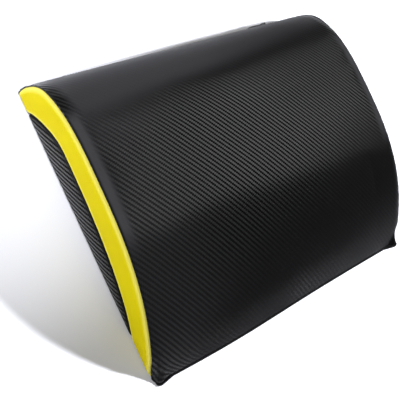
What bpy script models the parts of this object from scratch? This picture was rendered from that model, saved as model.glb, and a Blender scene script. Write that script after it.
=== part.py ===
"""Ab mat: a domed foam block in a sewn cover, closed by a zip in its tall end wall.

Lengths are metres and +Z is up.  The mat rests on Z = 0 with its centre at the origin.  X runs
across the mat, +Y points to the tall blunt end and -Y to the thin front end.
"""
import math

import bmesh
import bpy
from mathutils import Matrix, Vector

# Overall size
WIDTH = 0.376
DEPTH = 0.305
HEIGHT = 0.0695

# Shape of the dome along the depth: where its crest lies and how far each bend reaches
CREST_Y = 0.0544
FRONT_RISE = math.radians(44.5)
FRONT_REACH = 0.1035
CREST_FRONT_REACH = 0.065
CREST_BACK_REACH = 0.029
BACK_REACH = 0.059

# Cover sheet, sewing thread, and the clearance kept between neighbours
SHEET = 0.0012
GAP = 0.0003
THREAD = 0.0007

# Soft edges of the top cover and of the side panels
ROLL_WIDTH = 0.012
ROLL_DEPTH = 0.0020
TUCK_WIDTH = 0.003
TUCK_DEPTH = 0.0008
FRONT_CORNER = 0.016
BACK_CORNER = 0.003

# Base cover: its turned-up rim and the pinched points at the front corners
RIM_HEIGHT = 0.003
RIM_ROUND = 0.0008
POINT_ALONG_SIDE = 0.0115
POINT_FROM_SIDE = 0.0085
POINT_LENGTH = 0.004

# Side face: the black panel inside the coloured band
PANEL_HEIGHT = 0.0315
PANEL_CREST_Y = 0.072
PANEL_FROM_FRONT = 0.0475
PANEL_FROM_BACK = 0.0235
PANEL_FRONT_RISE = math.radians(30)
PANEL_BACK_RISE = math.radians(56)
PANEL_FRONT_REACH = 0.055
PANEL_CREST_FRONT_REACH = 0.055
PANEL_CREST_BACK_REACH = 0.020
PANEL_BACK_REACH = 0.018

# Zip in the back wall
ZIP_HEIGHT = 0.013
ZIP_FROM_SIDE = 0.048
TAPE_WIDTH = 0.008
TAPE_THICK = 0.0006
TAPE_END = 0.006
ROW_WIDTH = 0.0024
ROW_THICK = 0.0015
ROW_GAP = 0.0014
STOP_LENGTH = 0.002
HEM_WIDTH = 0.0028

# Zip slider with the bridge that holds its pull
SLIDER_LENGTH = 0.010
PLATE_THICK = 0.0008
LOWER_PLATE_THICK = 0.0008
FLANGE_THICK = 0.0008
WEDGE_THICK = 0.0008
WEDGE_LENGTH = 0.003
WEDGE_FROM_END = 0.0008
WALL_BOW = 0.00015
BRIDGE_LENGTH = 0.0078
BRIDGE_WIDTH = 0.0024
BRIDGE_THICK = 0.0008
PLATE_CORNER = 0.0012
SET_BACK = 0.0001

# Zip pull
PIN = 0.0010
ARM_WIDTH = 0.0013
ARM_GAP = 0.0004
PULL_THICK = 0.0010
PULL_LENGTH = 0.024
PULL_TIP_WIDTH = 0.0078
EYE_LENGTH = 0.0053

# Counts of steps
PROFILE_STEPS = 42
ROLL_STEPS = 5
FLAT_STEPS = 4
TUCK_STEPS = 3
CORNER_STEPS = 4
STRIP_STEPS = 4
PATH_SAMPLES = 240
HALVINGS = 50
PIN_SIDES = 12
BEVEL_STEPS = 3

# Angle past which an edge is shaded sharp, and distance within which points are one
SHARP_ANGLE = math.radians(40)
MERGE = 0.00001

# Places that follow from the sizes above
HALF_WIDTH = WIDTH / 2
FRONT_Y = -DEPTH / 2
BACK_Y = DEPTH / 2
SEAM_WIDTH = THREAD + 2 * GAP
PANEL_FOOT = RIM_HEIGHT + SEAM_WIDTH
FOAM_DEPTH = SHEET + GAP
FOAM_SIDE = SHEET + TUCK_DEPTH + GAP
SEAM_DEPTH = ROLL_DEPTH + SEAM_WIDTH / 2
BAND_DEPTH = SEAM_DEPTH + SEAM_WIDTH / 2
ZIP_LENGTH = WIDTH - 2 * ZIP_FROM_SIDE
TAPE_DEPTH = 2 * SHEET + GAP
ROW_DEPTH = TAPE_DEPTH - GAP - ROW_THICK
ROW_FAR_EDGE = ROW_GAP / 2 + ROW_WIDTH
FLANGE_EDGE = ROW_FAR_EDGE + GAP + FLANGE_THICK
SLOT_EDGE = FLANGE_EDGE + 2 * GAP
LOWER_PLATE_DEPTH = TAPE_DEPTH + TAPE_THICK + GAP + WALL_BOW
PLATE_DEPTH = ROW_DEPTH - GAP
HALF_SLOT = ZIP_LENGTH / 2 + GAP + STOP_LENGTH + SEAM_WIDTH
HALF_TAPE = HALF_SLOT + TAPE_END
OVERRUN = SHEET

MODEL = "ab_mat"
CUTTERS = "cutters"


def clear_scene():
    for thing in list(bpy.data.objects):
        bpy.data.objects.remove(thing, do_unlink=True)


def collection(name):
    made = bpy.data.collections.get(name)
    if made is None:
        made = bpy.data.collections.new(name)
        bpy.context.scene.collection.children.link(made)
    return made


def material(name, colour, roughness, metallic=0.0):
    made = bpy.data.materials.new(name)
    made.use_nodes = True
    shader = made.node_tree.nodes["Principled BSDF"]
    shader.inputs["Base Color"].default_value = (*colour, 1)
    shader.inputs["Roughness"].default_value = roughness
    shader.inputs["Metallic"].default_value = metallic
    made.diffuse_color = (*colour, 1)
    return made


class Path:
    """A smooth curve in the Y-Z plane, read by the distance along it; left of it is outside."""

    def __init__(self, *bends):
        self.points = [bends[0][0]]
        for start, first, second, end in bends:
            for step in range(1, PATH_SAMPLES + 1):
                t = step / PATH_SAMPLES
                s = 1 - t
                self.points.append(
                    s**3 * start + 3 * s * s * t * first + 3 * s * t * t * second + t**3 * end
                )
        self.marks = [0.0]
        for before, after in zip(self.points, self.points[1:]):
            self.marks.append(self.marks[-1] + (after - before).length)
        self.length = self.marks[-1]

    def at(self, distance):
        low = 0
        high = len(self.marks) - 1
        while high - low > 1:
            middle = (low + high) // 2
            if self.marks[middle] <= distance:
                low = middle
            else:
                high = middle
        share = (distance - self.marks[low]) / (self.marks[high] - self.marks[low])
        return self.points[low].lerp(self.points[high], share)

    def normal(self, distance):
        reach = self.length / PATH_SAMPLES
        ahead = min(distance + reach, self.length)
        behind = max(distance - reach, 0)
        along = self.at(ahead) - self.at(behind)
        return Vector((-along.y, along.x)).normalized()

    def inside(self, distance, depth):
        return self.at(distance) - self.normal(distance) * depth

    def where(self, depth, height, low, high):
        """The distance between low and high where the curve, moved in by depth, is at height."""
        rising = self.inside(high, depth).y > self.inside(low, depth).y
        for _ in range(HALVINGS):
            middle = (low + high) / 2
            if (self.inside(middle, depth).y < height) == rising:
                low = middle
            else:
                high = middle
        return (low + high) / 2

    def span(self, depth, height):
        """The two distances where the curve, moved in by depth, crosses height."""
        crest = max(range(len(self.points)), key=lambda index: self.points[index].y)
        top = self.marks[crest]
        return self.where(depth, height, 0, top), self.where(depth, height, top, self.length)


def bend(start, start_angle, start_reach, end, end_reach, end_angle=0.0):
    """One cubic bend, leaving and arriving at the given slopes."""
    leaving = Vector((math.cos(start_angle), math.sin(start_angle))) * start_reach
    arriving = Vector((math.cos(end_angle), math.sin(end_angle))) * end_reach
    return start, start + leaving, end - arriving, end


def dome_path():
    """Outer surface of the mat from its front edge over the crest to its back edge."""
    front = Vector((FRONT_Y, 0))
    crest = Vector((CREST_Y, HEIGHT))
    back = Vector((BACK_Y, 0))
    return Path(
        bend(front, FRONT_RISE, FRONT_REACH, crest, CREST_FRONT_REACH),
        bend(crest, 0, CREST_BACK_REACH, back, BACK_REACH, -math.pi / 2),
    )


def panel_path():
    """Upper edge of the black side panel, front to back."""
    front = Vector((FRONT_Y + PANEL_FROM_FRONT, 0))
    crest = Vector((PANEL_CREST_Y, PANEL_HEIGHT))
    back = Vector((BACK_Y - PANEL_FROM_BACK, 0))
    return Path(
        bend(front, PANEL_FRONT_RISE, PANEL_FRONT_REACH, crest, PANEL_CREST_FRONT_REACH),
        bend(crest, 0, PANEL_CREST_BACK_REACH, back, PANEL_BACK_REACH, -PANEL_BACK_RISE),
    )


DOME = dome_path()
PANEL = panel_path()


def eased(step, steps):
    """Shares from 0 to 1 that crowd together at both ends."""
    return (1 - math.cos(math.pi * step / steps)) / 2


def roll(from_side):
    """How far the top cover has rolled down at a distance from the mat's side."""
    share = max(0, (ROLL_WIDTH - from_side) / (ROLL_WIDTH - TUCK_DEPTH))
    return ROLL_DEPTH * share**3


def roll_slope(from_side):
    share = max(0, (ROLL_WIDTH - from_side) / (ROLL_WIDTH - TUCK_DEPTH))
    return 3 * ROLL_DEPTH * share**2 / (ROLL_WIDTH - TUCK_DEPTH)


def drawn_in(y, inset=0.0):
    """How far the sides come in at the rounded front corners, on a layer moved in by inset."""
    radius = FRONT_CORNER - inset
    left = FRONT_CORNER - (y - FRONT_Y)
    if left <= 0:
        return 0
    return radius - math.sqrt(max(0, radius**2 - left**2))


def crosswise(from_side):
    """Distances from the left side to the stations across the mat, both edges alike."""
    rolled = [from_side + (ROLL_WIDTH - from_side) * step / ROLL_STEPS for step in range(ROLL_STEPS)]
    flat = WIDTH - 2 * ROLL_WIDTH
    middle = [ROLL_WIDTH + flat * step / FLAT_STEPS for step in range(FLAT_STEPS + 1)]
    far = [WIDTH - station for station in reversed(rolled)]
    return rolled + middle + far


def new_object(name, data, finish, group=MODEL):
    made = bpy.data.objects.new(name, data)
    collection(group).objects.link(made)
    if finish is not None:
        data.materials.append(finish)
    return made


def hide(thing):
    """Keep a cutter out of the model."""
    thing.hide_render = True
    thing.display_type = "WIRE"


def mesh_object(name, bm, finish, group=MODEL):
    data = bpy.data.meshes.new(name)
    bm.to_mesh(data)
    bm.free()
    return new_object(name, data, finish, group)


def smooth(thing):
    thing.data.shade_smooth()
    thing.data.set_sharp_from_angle(angle=SHARP_ANGLE)


def grid(columns, rows, place):
    """A grid sheet whose points are put where place(column, row) says."""
    bm = bmesh.new()
    bmesh.ops.create_grid(bm, x_segments=columns, y_segments=rows, size=0.5)
    for vert in bm.verts:
        column = round((vert.co.x + 0.5) * columns)
        row = round((vert.co.y + 0.5) * rows)
        vert.co = place(column, row)
    return bm


def thicken(thing, thickness):
    """Give an open sheet its thickness, on the inner side of its faces."""
    shell = thing.modifiers.new("sheet", "SOLIDIFY")
    shell.thickness = thickness
    shell.offset = -1
    shell.use_even_offset = True


def boolean(target, other, operation):
    cut = target.modifiers.new(other.name, "BOOLEAN")
    cut.operation = operation
    cut.solver = "EXACT"
    cut.object = other


def dome_grid(depth, from_side, foot):
    """The mat's upper surface, moved in by depth, from its front foot to its back foot."""
    stations = crosswise(from_side)

    def place(column, row):
        station = stations[column]
        side = min(station, WIDTH - station)
        inset = roll(side) + depth * math.sqrt(1 + roll_slope(side) ** 2)
        first, last = DOME.span(inset, foot)
        point = DOME.inside(first + (last - first) * eased(row, PROFILE_STEPS), inset)
        narrow = 1 - drawn_in(point.x, from_side - TUCK_DEPTH) / HALF_WIDTH
        return Vector(((station - HALF_WIDTH) * narrow, point.x, point.y))

    return grid(len(stations) - 1, PROFILE_STEPS, place)


def foam_core(finish):
    """Foam block: the dome, its rim dropped to the flat underside, relieved behind the zip."""
    foot = SHEET + GAP
    bm = dome_grid(FOAM_DEPTH, FOAM_SIDE, foot)
    rim = [edge for edge in bm.edges if edge.is_boundary]
    dropped = bmesh.ops.extrude_edge_only(bm, edges=rim)["geom"]
    for item in dropped:
        if isinstance(item, bmesh.types.BMVert):
            item.co.z = foot
    bmesh.ops.remove_doubles(bm, verts=bm.verts, dist=MERGE)
    open_edges = [edge for edge in bm.edges if edge.is_boundary]
    bmesh.ops.contextual_create(bm, geom=open_edges)
    bmesh.ops.recalc_face_normals(bm, faces=bm.faces)
    foam = mesh_object("foam_core", bm, finish)
    smooth(foam)
    reach = ROW_GAP / 2 + TAPE_WIDTH + GAP
    tape_bed = wall_strip("cut_tape_bed", -reach, reach, -OVERRUN, HALF_TAPE + GAP, None, CUTTERS)
    thicken(tape_bed, OVERRUN + TAPE_DEPTH + TAPE_THICK + GAP)
    half = ZIP_LENGTH / 2 + STOP_LENGTH
    channel = wall_strip("cut_channel", -SLOT_EDGE, SLOT_EDGE, -2 * OVERRUN, half, None, CUTTERS)
    thicken(channel, 2 * OVERRUN + LOWER_PLATE_DEPTH + LOWER_PLATE_THICK + GAP)
    for cutter in (tape_bed, channel):
        hide(cutter)
        boolean(foam, cutter, "DIFFERENCE")


def top_cover(finish):
    """Black sheet over the dome, with a hemmed slot that the zip lies in."""
    bm = dome_grid(0, TUCK_DEPTH, PANEL_FOOT)
    cover = mesh_object("top_cover", bm, finish)
    smooth(cover)
    thicken(cover, SHEET)
    reach = SLOT_EDGE + HEM_WIDTH
    hem = wall_strip("zip_hem", -reach, reach, SHEET / 2, HALF_SLOT + HEM_WIDTH, finish, CUTTERS)
    thicken(hem, SHEET * 1.5)
    slot = wall_strip("cut_zip_slot", -SLOT_EDGE, SLOT_EDGE, -OVERRUN, HALF_SLOT, None, CUTTERS)
    thicken(slot, 2 * OVERRUN + 2 * SHEET)
    for other, operation in ((hem, "UNION"), (slot, "DIFFERENCE")):
        hide(other)
        boolean(cover, other, operation)


def front_corner(inset, front, pointed):
    """Plan of the right front corner: a round one, or one drawn out to a pinched point."""
    side_end = Vector((HALF_WIDTH - inset, FRONT_Y + POINT_ALONG_SIDE))
    tip = Vector((HALF_WIDTH - POINT_FROM_SIDE, FRONT_Y - POINT_LENGTH + inset))
    front_end = Vector((HALF_WIDTH - FRONT_CORNER, front))
    start = FRONT_Y + FRONT_CORNER
    points = []
    for step in range(2 * CORNER_STEPS + 1):
        share = step / CORNER_STEPS
        if pointed and step < CORNER_STEPS:
            points.append(side_end.lerp(tip, share))
        elif pointed:
            points.append(tip.lerp(front_end, share - 1))
        else:
            y = start + (front - start) * math.sin(math.pi / 4 * share)
            points.append(Vector((HALF_WIDTH - inset - drawn_in(y, inset), y)))
    return points


def base_outline(inset, height, pointed):
    """Plan of the base cover's edge, moved in by inset, at one height of its rim."""
    front = DOME.at(DOME.span(0, height)[0]).x + inset / math.sin(FRONT_RISE)
    right = [Vector((0, BACK_Y - inset))]
    for step in range(ROLL_STEPS, 0, -1):
        station = ROLL_WIDTH * step / ROLL_STEPS
        if station > BACK_CORNER + inset:
            right.append(Vector((HALF_WIDTH - station, BACK_Y - inset - roll(station))))
    centre = Vector((HALF_WIDTH - inset - BACK_CORNER, right[-1].y - BACK_CORNER))
    for step in range(CORNER_STEPS + 1):
        turn = math.pi / 2 * (1 - step / CORNER_STEPS)
        right.append(centre + Vector((math.cos(turn), math.sin(turn))) * BACK_CORNER)
    right.append(Vector((HALF_WIDTH - inset, 0)))
    right += front_corner(inset, front, pointed)
    right.append(Vector((0, front)))
    left = [Vector((-point.x, point.y)) for point in reversed(right[1:-1])]
    return right + left


def base_cover(finish):
    """Flat underside sheet with a low turned-up rim, pinched to a point at the front corners."""
    levels = [
        (RIM_ROUND, 0, True),
        (0, RIM_ROUND, True),
        (0, RIM_HEIGHT, True),
        (SHEET, RIM_HEIGHT, False),
        (SHEET, SHEET, False),
    ]
    bm = bmesh.new()
    rings = []
    for inset, height, pointed in levels:
        outline = base_outline(inset, height, pointed)
        rings.append([bm.verts.new((point.x, point.y, height)) for point in outline])
    for lower, upper in zip(rings, rings[1:]):
        for index in range(len(lower)):
            after = (index + 1) % len(lower)
            bm.faces.new((lower[index], upper[index], upper[after], lower[after]))
    bm.faces.new(rings[0])
    bm.faces.new(rings[-1])
    bmesh.ops.recalc_face_normals(bm, faces=bm.faces)
    bmesh.ops.triangulate(bm, faces=[face for face in bm.faces if len(face.verts) == 4])
    cover = mesh_object("base_cover", bm, finish)
    smooth(cover)


def side_panel(name, upper, lower, lower_sewn, side, finish):
    """A sheet between two edges on one side of the mat, drawn in where it is sewn to the next."""
    columns = 2 * TUCK_STEPS + 1 if lower_sewn else TUCK_STEPS + 1

    def place(column, row):
        if side < 0:
            column = columns - column
        width = (lower[row] - upper[row]).length
        reach = min(TUCK_WIDTH, width / 3)
        from_upper = reach * column / TUCK_STEPS
        if column > TUCK_STEPS:
            from_upper = width - reach * (columns - column) / TUCK_STEPS
        point = upper[row].lerp(lower[row], from_upper / width)
        from_seam = min(from_upper, width - from_upper) if lower_sewn else from_upper
        tuck = TUCK_DEPTH * max(0, 1 - from_seam / TUCK_WIDTH) ** 2
        return Vector((side * (HALF_WIDTH - tuck - drawn_in(point.x)), point.x, point.y))

    panel = mesh_object(name, grid(columns, PROFILE_STEPS, place), finish)
    smooth(panel)
    thicken(panel, SHEET)


def path_points(path, depth, foot):
    """Points along a path moved in by depth, front to back, ending at the height of its foot."""
    first, last = path.span(depth, foot)
    shares = [eased(step, PROFILE_STEPS) for step in range(PROFILE_STEPS + 1)]
    return [path.inside(first + (last - first) * share, depth) for share in shares]


def side_panels(band_finish, panel_finish):
    """Coloured band under the dome's edge and the black panel that it frames, on both sides."""
    outer = path_points(DOME, BAND_DEPTH, PANEL_FOOT)
    inner = path_points(PANEL, -SEAM_WIDTH, PANEL_FOOT)
    crescent = path_points(PANEL, 0, PANEL_FOOT + SHEET)
    floor = [Vector((point.x, PANEL_FOOT)) for point in crescent]
    for side, word in ((-1, "left"), (1, "right")):
        side_panel("accent_band_" + word, outer, inner, True, side, band_finish)
        side_panel("side_panel_" + word, crescent, floor, False, side, panel_finish)


def thread(name, points, closed, finish):
    """A line of sewing thread through the given points."""
    data = bpy.data.curves.new(name, "CURVE")
    data.dimensions = "3D"
    data.bevel_depth = THREAD / 2
    data.bevel_resolution = 1
    data.use_fill_caps = True
    spline = data.splines.new("POLY")
    spline.points.add(len(points) - 1)
    for item, point in zip(spline.points, points):
        item.co = (*point, 1)
    spline.use_cyclic_u = closed
    new_object(name, data, finish)


def seams(finish):
    """Thread in the valleys between the sewn pieces."""
    foot = PANEL_FOOT + THREAD / 2
    upper = path_points(DOME, SEAM_DEPTH, foot)
    lower = path_points(PANEL, -SEAM_WIDTH / 2, foot)
    for side, word in ((-1, "left"), (1, "right")):
        for level, line in (("upper", upper), ("lower", lower)):
            points = [
                (side * (HALF_WIDTH - THREAD / 2 - drawn_in(point.x)), point.x, point.y) for point in line
            ]
            thread(level + "_seam_" + word, points, False, finish)
    height = RIM_HEIGHT + SEAM_WIDTH / 2
    around = base_outline(THREAD / 2, height, False)
    thread("base_seam", [(point.x, point.y, height) for point in around], True, finish)


def zip_centre():
    """Distance along the dome where the zip's middle line runs."""
    top = DOME.span(0, HEIGHT - GAP)[1]
    return DOME.where(0, ZIP_HEIGHT, top, DOME.length)


def zip_frame():
    """Place on the back wall at the zip's middle: X along it, Y out of the wall, Z up the wall."""
    out = DOME.normal(zip_centre())
    middle = DOME.at(zip_centre())
    turn = Matrix.Rotation(math.atan2(out.y, out.x), 4, "X")
    return Matrix.Translation((0, middle.x, middle.y)) @ turn


def wall_strip(name, low, high, depth, half_length, finish, group=MODEL):
    """A strip of the back wall, between two distances up the wall from the zip's middle line."""
    centre = zip_centre()

    def place(column, row):
        up = high + (low - high) * row / STRIP_STEPS
        point = DOME.inside(centre - up, depth)
        return Vector((half_length * (2 * column - 1), point.x, point.y))

    return mesh_object(name, grid(1, STRIP_STEPS, place), finish, group)


def zip_tapes_and_rows(tape_finish, row_finish):
    """Two woven tapes behind the slot's edges, each carrying one row of the coil."""
    near = ROW_GAP / 2
    for side, word in ((1, "upper"), (-1, "lower")):
        tape_ends = sorted((side * near, side * (near + TAPE_WIDTH)))
        tape = wall_strip("zip_tape_" + word, *tape_ends, TAPE_DEPTH, HALF_TAPE, tape_finish)
        thicken(tape, TAPE_THICK)
        row_ends = sorted((side * near, side * ROW_FAR_EDGE))
        row = wall_strip("zip_row_" + word, *row_ends, ROW_DEPTH, ZIP_LENGTH / 2, row_finish)
        thicken(row, ROW_THICK)


def box(name, low, high, finish, group=MODEL, corner=0.0):
    """A box between two corners, with its edges through the sheet rounded."""
    bm = bmesh.new()
    bmesh.ops.create_cube(bm, size=1)
    for vert in bm.verts:
        vert.co = [a + (b - a) * (share + 0.5) for a, b, share in zip(low, high, vert.co)]
    if corner:
        upright = [edge for edge in bm.edges if abs(edge.verts[0].co.y - edge.verts[1].co.y) > GAP]
        bmesh.ops.bevel(bm, geom=upright, offset=corner, segments=BEVEL_STEPS, profile=0.5, affect="EDGES")
    return mesh_object(name, bm, finish, group)


def joined(target, others):
    """Join solids into one body."""
    for other in others:
        hide(other)
        boolean(target, other, "UNION")


def carry(things, parent):
    for thing in things:
        thing.parent = parent


def empty(name, matrix, parent=None):
    made = bpy.data.objects.new(name, None)
    collection(MODEL).objects.link(made)
    made.parent = parent
    made.matrix_local = matrix
    return made


def zip_stops(finish, frame):
    """One stop on each row at the closed end, and one across both at the open end."""
    end = ZIP_LENGTH / 2 + GAP
    far = end + STOP_LENGTH
    out = -ROW_DEPTH
    under = out - ROW_THICK
    near = ROW_GAP / 2
    stops = [
        box("zip_stop_upper", (end, under, near), (far, out, ROW_FAR_EDGE), finish),
        box("zip_stop_lower", (end, under, -ROW_FAR_EDGE), (far, out, -near), finish),
        box("zip_stop_end", (-far, under, -ROW_FAR_EDGE), (-end, out, ROW_FAR_EDGE), finish),
    ]
    carry(stops, frame)


def zip_slider(finish, place):
    """Two plates joined by a wedge, with side flanges round the rows and a bridge for the pull."""
    half = SLIDER_LENGTH / 2
    inner = -PLATE_DEPTH
    outer = inner + PLATE_THICK
    lower = -LOWER_PLATE_DEPTH
    flange_foot = -TAPE_DEPTH + GAP + WALL_BOW
    bite = PLATE_THICK / 4
    tall = FLANGE_EDGE
    slider = box("zip_slider", (-half, inner, -tall), (half, outer, tall), finish, MODEL, PLATE_CORNER)
    added = [
        box(
            "slider_lower_plate",
            (-half, lower - LOWER_PLATE_THICK, -tall),
            (half, lower, tall),
            finish,
            CUTTERS,
            PLATE_CORNER,
        )
    ]
    wedge_end = half - WEDGE_FROM_END
    added.append(
        box(
            "slider_wedge",
            (wedge_end - WEDGE_LENGTH, lower - bite, -WEDGE_THICK / 2),
            (wedge_end, inner + bite, WEDGE_THICK / 2),
            finish,
            CUTTERS,
        )
    )
    for side, word in ((1, "upper"), (-1, "lower")):
        edges = sorted((side * (tall - FLANGE_THICK), side * (tall - SET_BACK)))
        reach = half - PLATE_CORNER
        added.append(
            box(
                "slider_flange_" + word,
                (-reach, flange_foot, edges[0]),
                (reach, inner + bite, edges[1]),
                finish,
                CUTTERS,
            )
        )
    bar = bridge_bar()
    for side, word in ((1, "front"), (-1, "rear")):
        post_end = BRIDGE_LENGTH / 2 - SET_BACK
        ends = sorted((side * post_end, side * (post_end - BRIDGE_THICK)))
        added.append(
            box(
                "bridge_post_" + word,
                (ends[0], outer - bite, SET_BACK - BRIDGE_WIDTH / 2),
                (ends[1], bar + bite, BRIDGE_WIDTH / 2 - SET_BACK),
                finish,
                CUTTERS,
            )
        )
    added.append(
        box(
            "bridge_bar",
            (-BRIDGE_LENGTH / 2, bar, -BRIDGE_WIDTH / 2),
            (BRIDGE_LENGTH / 2, bar + BRIDGE_THICK, BRIDGE_WIDTH / 2),
            finish,
            CUTTERS,
        )
    )
    joined(slider, added)
    carry([slider] + added, place)


def pin_out():
    """How far out of the wall the pull's pin turns, on the slider's plate."""
    return -PLATE_DEPTH + PLATE_THICK + GAP + PULL_THICK / 2


def bridge_bar():
    """How far out of the wall the underside of the slider's bridge lies."""
    return pin_out() + PULL_THICK / 2 + GAP


def mesh_from_curve(thing):
    """Replace a curve object by a closed mesh object of the same name and place."""
    name = thing.name
    bpy.context.view_layer.update()
    evaluated = thing.evaluated_get(bpy.context.evaluated_depsgraph_get())
    data = bpy.data.meshes.new_from_object(evaluated)
    matrix = thing.matrix_world.copy()
    bpy.data.objects.remove(thing, do_unlink=True)
    bm = bmesh.new()
    bm.from_mesh(data)
    bmesh.ops.remove_doubles(bm, verts=bm.verts, dist=MERGE)
    bm.to_mesh(data)
    bm.free()
    made = bpy.data.objects.new(name, data)
    collection(MODEL).objects.link(made)
    made.matrix_world = matrix
    return made


def zip_pull(finish, hinge):
    """Flat tab with two arms that end round on a pin, which turns under the slider's bridge."""
    arm_in = BRIDGE_WIDTH / 2 + ARM_GAP
    arm_out = arm_in + ARM_WIDTH
    tip = PULL_TIP_WIDTH / 2
    right = [
        Vector((0, arm_in)),
        Vector((0, arm_out)),
        Vector((-EYE_LENGTH, arm_out)),
    ]
    centre = tip - PULL_LENGTH
    for step in range(CORNER_STEPS + 1):
        turn = math.pi / 2 * (1 + step / CORNER_STEPS)
        right.append(Vector((centre + tip * math.cos(turn), tip * math.sin(turn))))
    left = [Vector((point.x, -point.y)) for point in reversed(right[:-1])]
    eye = [Vector((-EYE_LENGTH, -arm_in)), Vector((-EYE_LENGTH, arm_in))]
    data = bpy.data.curves.new("zip_pull", "CURVE")
    data.dimensions = "2D"
    data.fill_mode = "BOTH"
    data.extrude = PULL_THICK / 2
    spline = data.splines.new("POLY")
    outline = right + left + eye
    spline.points.add(len(outline) - 1)
    for item, point in zip(spline.points, outline):
        item.co = (point.x, point.y, 0, 1)
    spline.use_cyclic_u = True
    flat = new_object("zip_pull", data, finish)
    flat.matrix_world = hinge.matrix_world @ Matrix.Rotation(math.pi / 2, 4, "X")
    tab = mesh_from_curve(flat)
    bm = bmesh.new()
    bmesh.ops.create_cone(
        bm,
        cap_ends=True,
        segments=PIN_SIDES,
        radius1=PIN / 2,
        radius2=PIN / 2,
        depth=2 * (arm_out - SET_BACK),
    )
    pin = mesh_object("pull_pin", bm, finish, CUTTERS)
    pin.matrix_world = hinge.matrix_world
    joined(tab, [pin])
    bpy.context.view_layer.update()
    for thing in (tab, pin):
        placed = thing.matrix_world.copy()
        thing.parent = hinge
        thing.matrix_world = placed


def zip_closure(tape_finish, row_finish, metal):
    """The zip, closed, with its slider at the +X end."""
    zip_tapes_and_rows(tape_finish, row_finish)
    frame = empty("zip_frame", zip_frame())
    rest = ZIP_LENGTH / 2 - SLIDER_LENGTH / 2 - GAP
    place = empty("slider_slide", Matrix.Translation((rest, 0, 0)), frame)
    hinge = empty("pull_hinge", Matrix.Translation((0, pin_out(), 0)), place)
    bpy.context.view_layer.update()
    zip_stops(metal, frame)
    zip_slider(metal, place)
    zip_pull(metal, hinge)


def main():
    clear_scene()
    for name in (MODEL, CUTTERS):
        collection(name)
    black_vinyl = material("black_vinyl", (0.020, 0.020, 0.021), 0.45)
    yellow_vinyl = material("yellow_vinyl", (0.775, 0.640, 0.015), 0.40)
    base_cloth = material("base_cloth", (0.030, 0.030, 0.032), 0.85)
    foam = material("foam", (0.060, 0.060, 0.062), 0.90)
    sewing_thread = material("thread", (0.012, 0.012, 0.012), 0.60)
    zip_cloth = material("zip_cloth", (0.015, 0.015, 0.015), 0.80)
    zip_nylon = material("zip_nylon", (0.018, 0.018, 0.018), 0.40)
    zip_metal = material("zip_metal", (0.090, 0.090, 0.095), 0.35, 1.0)
    foam_core(foam)
    top_cover(black_vinyl)
    base_cover(base_cloth)
    side_panels(yellow_vinyl, black_vinyl)
    seams(sewing_thread)
    zip_closure(zip_cloth, zip_nylon, zip_metal)


main()
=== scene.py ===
"""Looks of the ab mat: a domed foam block in a sewn two-colour cover with a zip at its tall end.

Lengths are metres and +Z is up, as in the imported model.  X runs across the mat, +Y points to the
tall blunt end and -Y to the thin front end.
"""
import math

import bmesh
import bpy
import numpy as np
from mathutils import Matrix, Vector


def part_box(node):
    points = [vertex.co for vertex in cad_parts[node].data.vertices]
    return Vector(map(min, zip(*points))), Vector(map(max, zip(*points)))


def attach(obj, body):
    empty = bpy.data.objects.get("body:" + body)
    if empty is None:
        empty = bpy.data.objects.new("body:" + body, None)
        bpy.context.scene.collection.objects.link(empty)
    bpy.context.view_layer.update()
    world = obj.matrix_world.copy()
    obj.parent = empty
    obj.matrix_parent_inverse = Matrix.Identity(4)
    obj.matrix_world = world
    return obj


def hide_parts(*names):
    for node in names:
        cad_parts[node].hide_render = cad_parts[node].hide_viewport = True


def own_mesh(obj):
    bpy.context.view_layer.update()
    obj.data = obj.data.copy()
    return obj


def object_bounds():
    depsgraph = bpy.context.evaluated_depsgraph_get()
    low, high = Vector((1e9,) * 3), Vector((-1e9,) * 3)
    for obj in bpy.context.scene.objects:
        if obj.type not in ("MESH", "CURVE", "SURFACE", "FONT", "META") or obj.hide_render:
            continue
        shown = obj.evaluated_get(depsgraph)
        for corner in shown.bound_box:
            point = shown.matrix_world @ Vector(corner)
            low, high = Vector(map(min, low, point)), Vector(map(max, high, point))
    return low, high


bl_info = {
    "name": "Ab Mat",
    "version": (1, 0, 0),
    "blender": (4, 5, 0),
    "location": "3D View > Sidebar > Ab Mat",
    "description": "Builds the cover, foam, seams and zip of a domed ab mat around its packed model",
    "category": "Add Mesh",
}

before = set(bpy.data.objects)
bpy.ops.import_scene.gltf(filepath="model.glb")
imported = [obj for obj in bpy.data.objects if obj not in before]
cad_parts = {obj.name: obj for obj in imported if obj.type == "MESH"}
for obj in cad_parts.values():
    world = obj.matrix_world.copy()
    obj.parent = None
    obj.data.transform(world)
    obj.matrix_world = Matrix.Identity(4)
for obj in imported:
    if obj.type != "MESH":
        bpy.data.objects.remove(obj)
CAD_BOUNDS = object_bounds()

# Overall size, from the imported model
HALF_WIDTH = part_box("base_cover")[1].x
WIDTH = 2 * HALF_WIDTH
BACK_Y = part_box("base_cover")[1].y
FRONT_Y = -BACK_Y
HEIGHT = CAD_BOUNDS[1].z

# Shape of the dome along the depth
CREST_Y = 0.0544
FRONT_RISE = math.radians(44.5)
FRONT_REACH = 0.1035
CREST_FRONT_REACH = 0.065
CREST_BACK_REACH = 0.029
BACK_REACH = 0.059

# Upper edge of the black panel in each side face
PANEL_HEIGHT = 0.0315
PANEL_CREST_Y = 0.072
PANEL_FROM_FRONT = 0.0475
PANEL_FROM_BACK = 0.0235
PANEL_FRONT_RISE = math.radians(30)
PANEL_BACK_RISE = math.radians(56)
PANEL_FRONT_REACH = 0.055
PANEL_CREST_FRONT_REACH = 0.055
PANEL_CREST_BACK_REACH = 0.020
PANEL_BACK_REACH = 0.018

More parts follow.
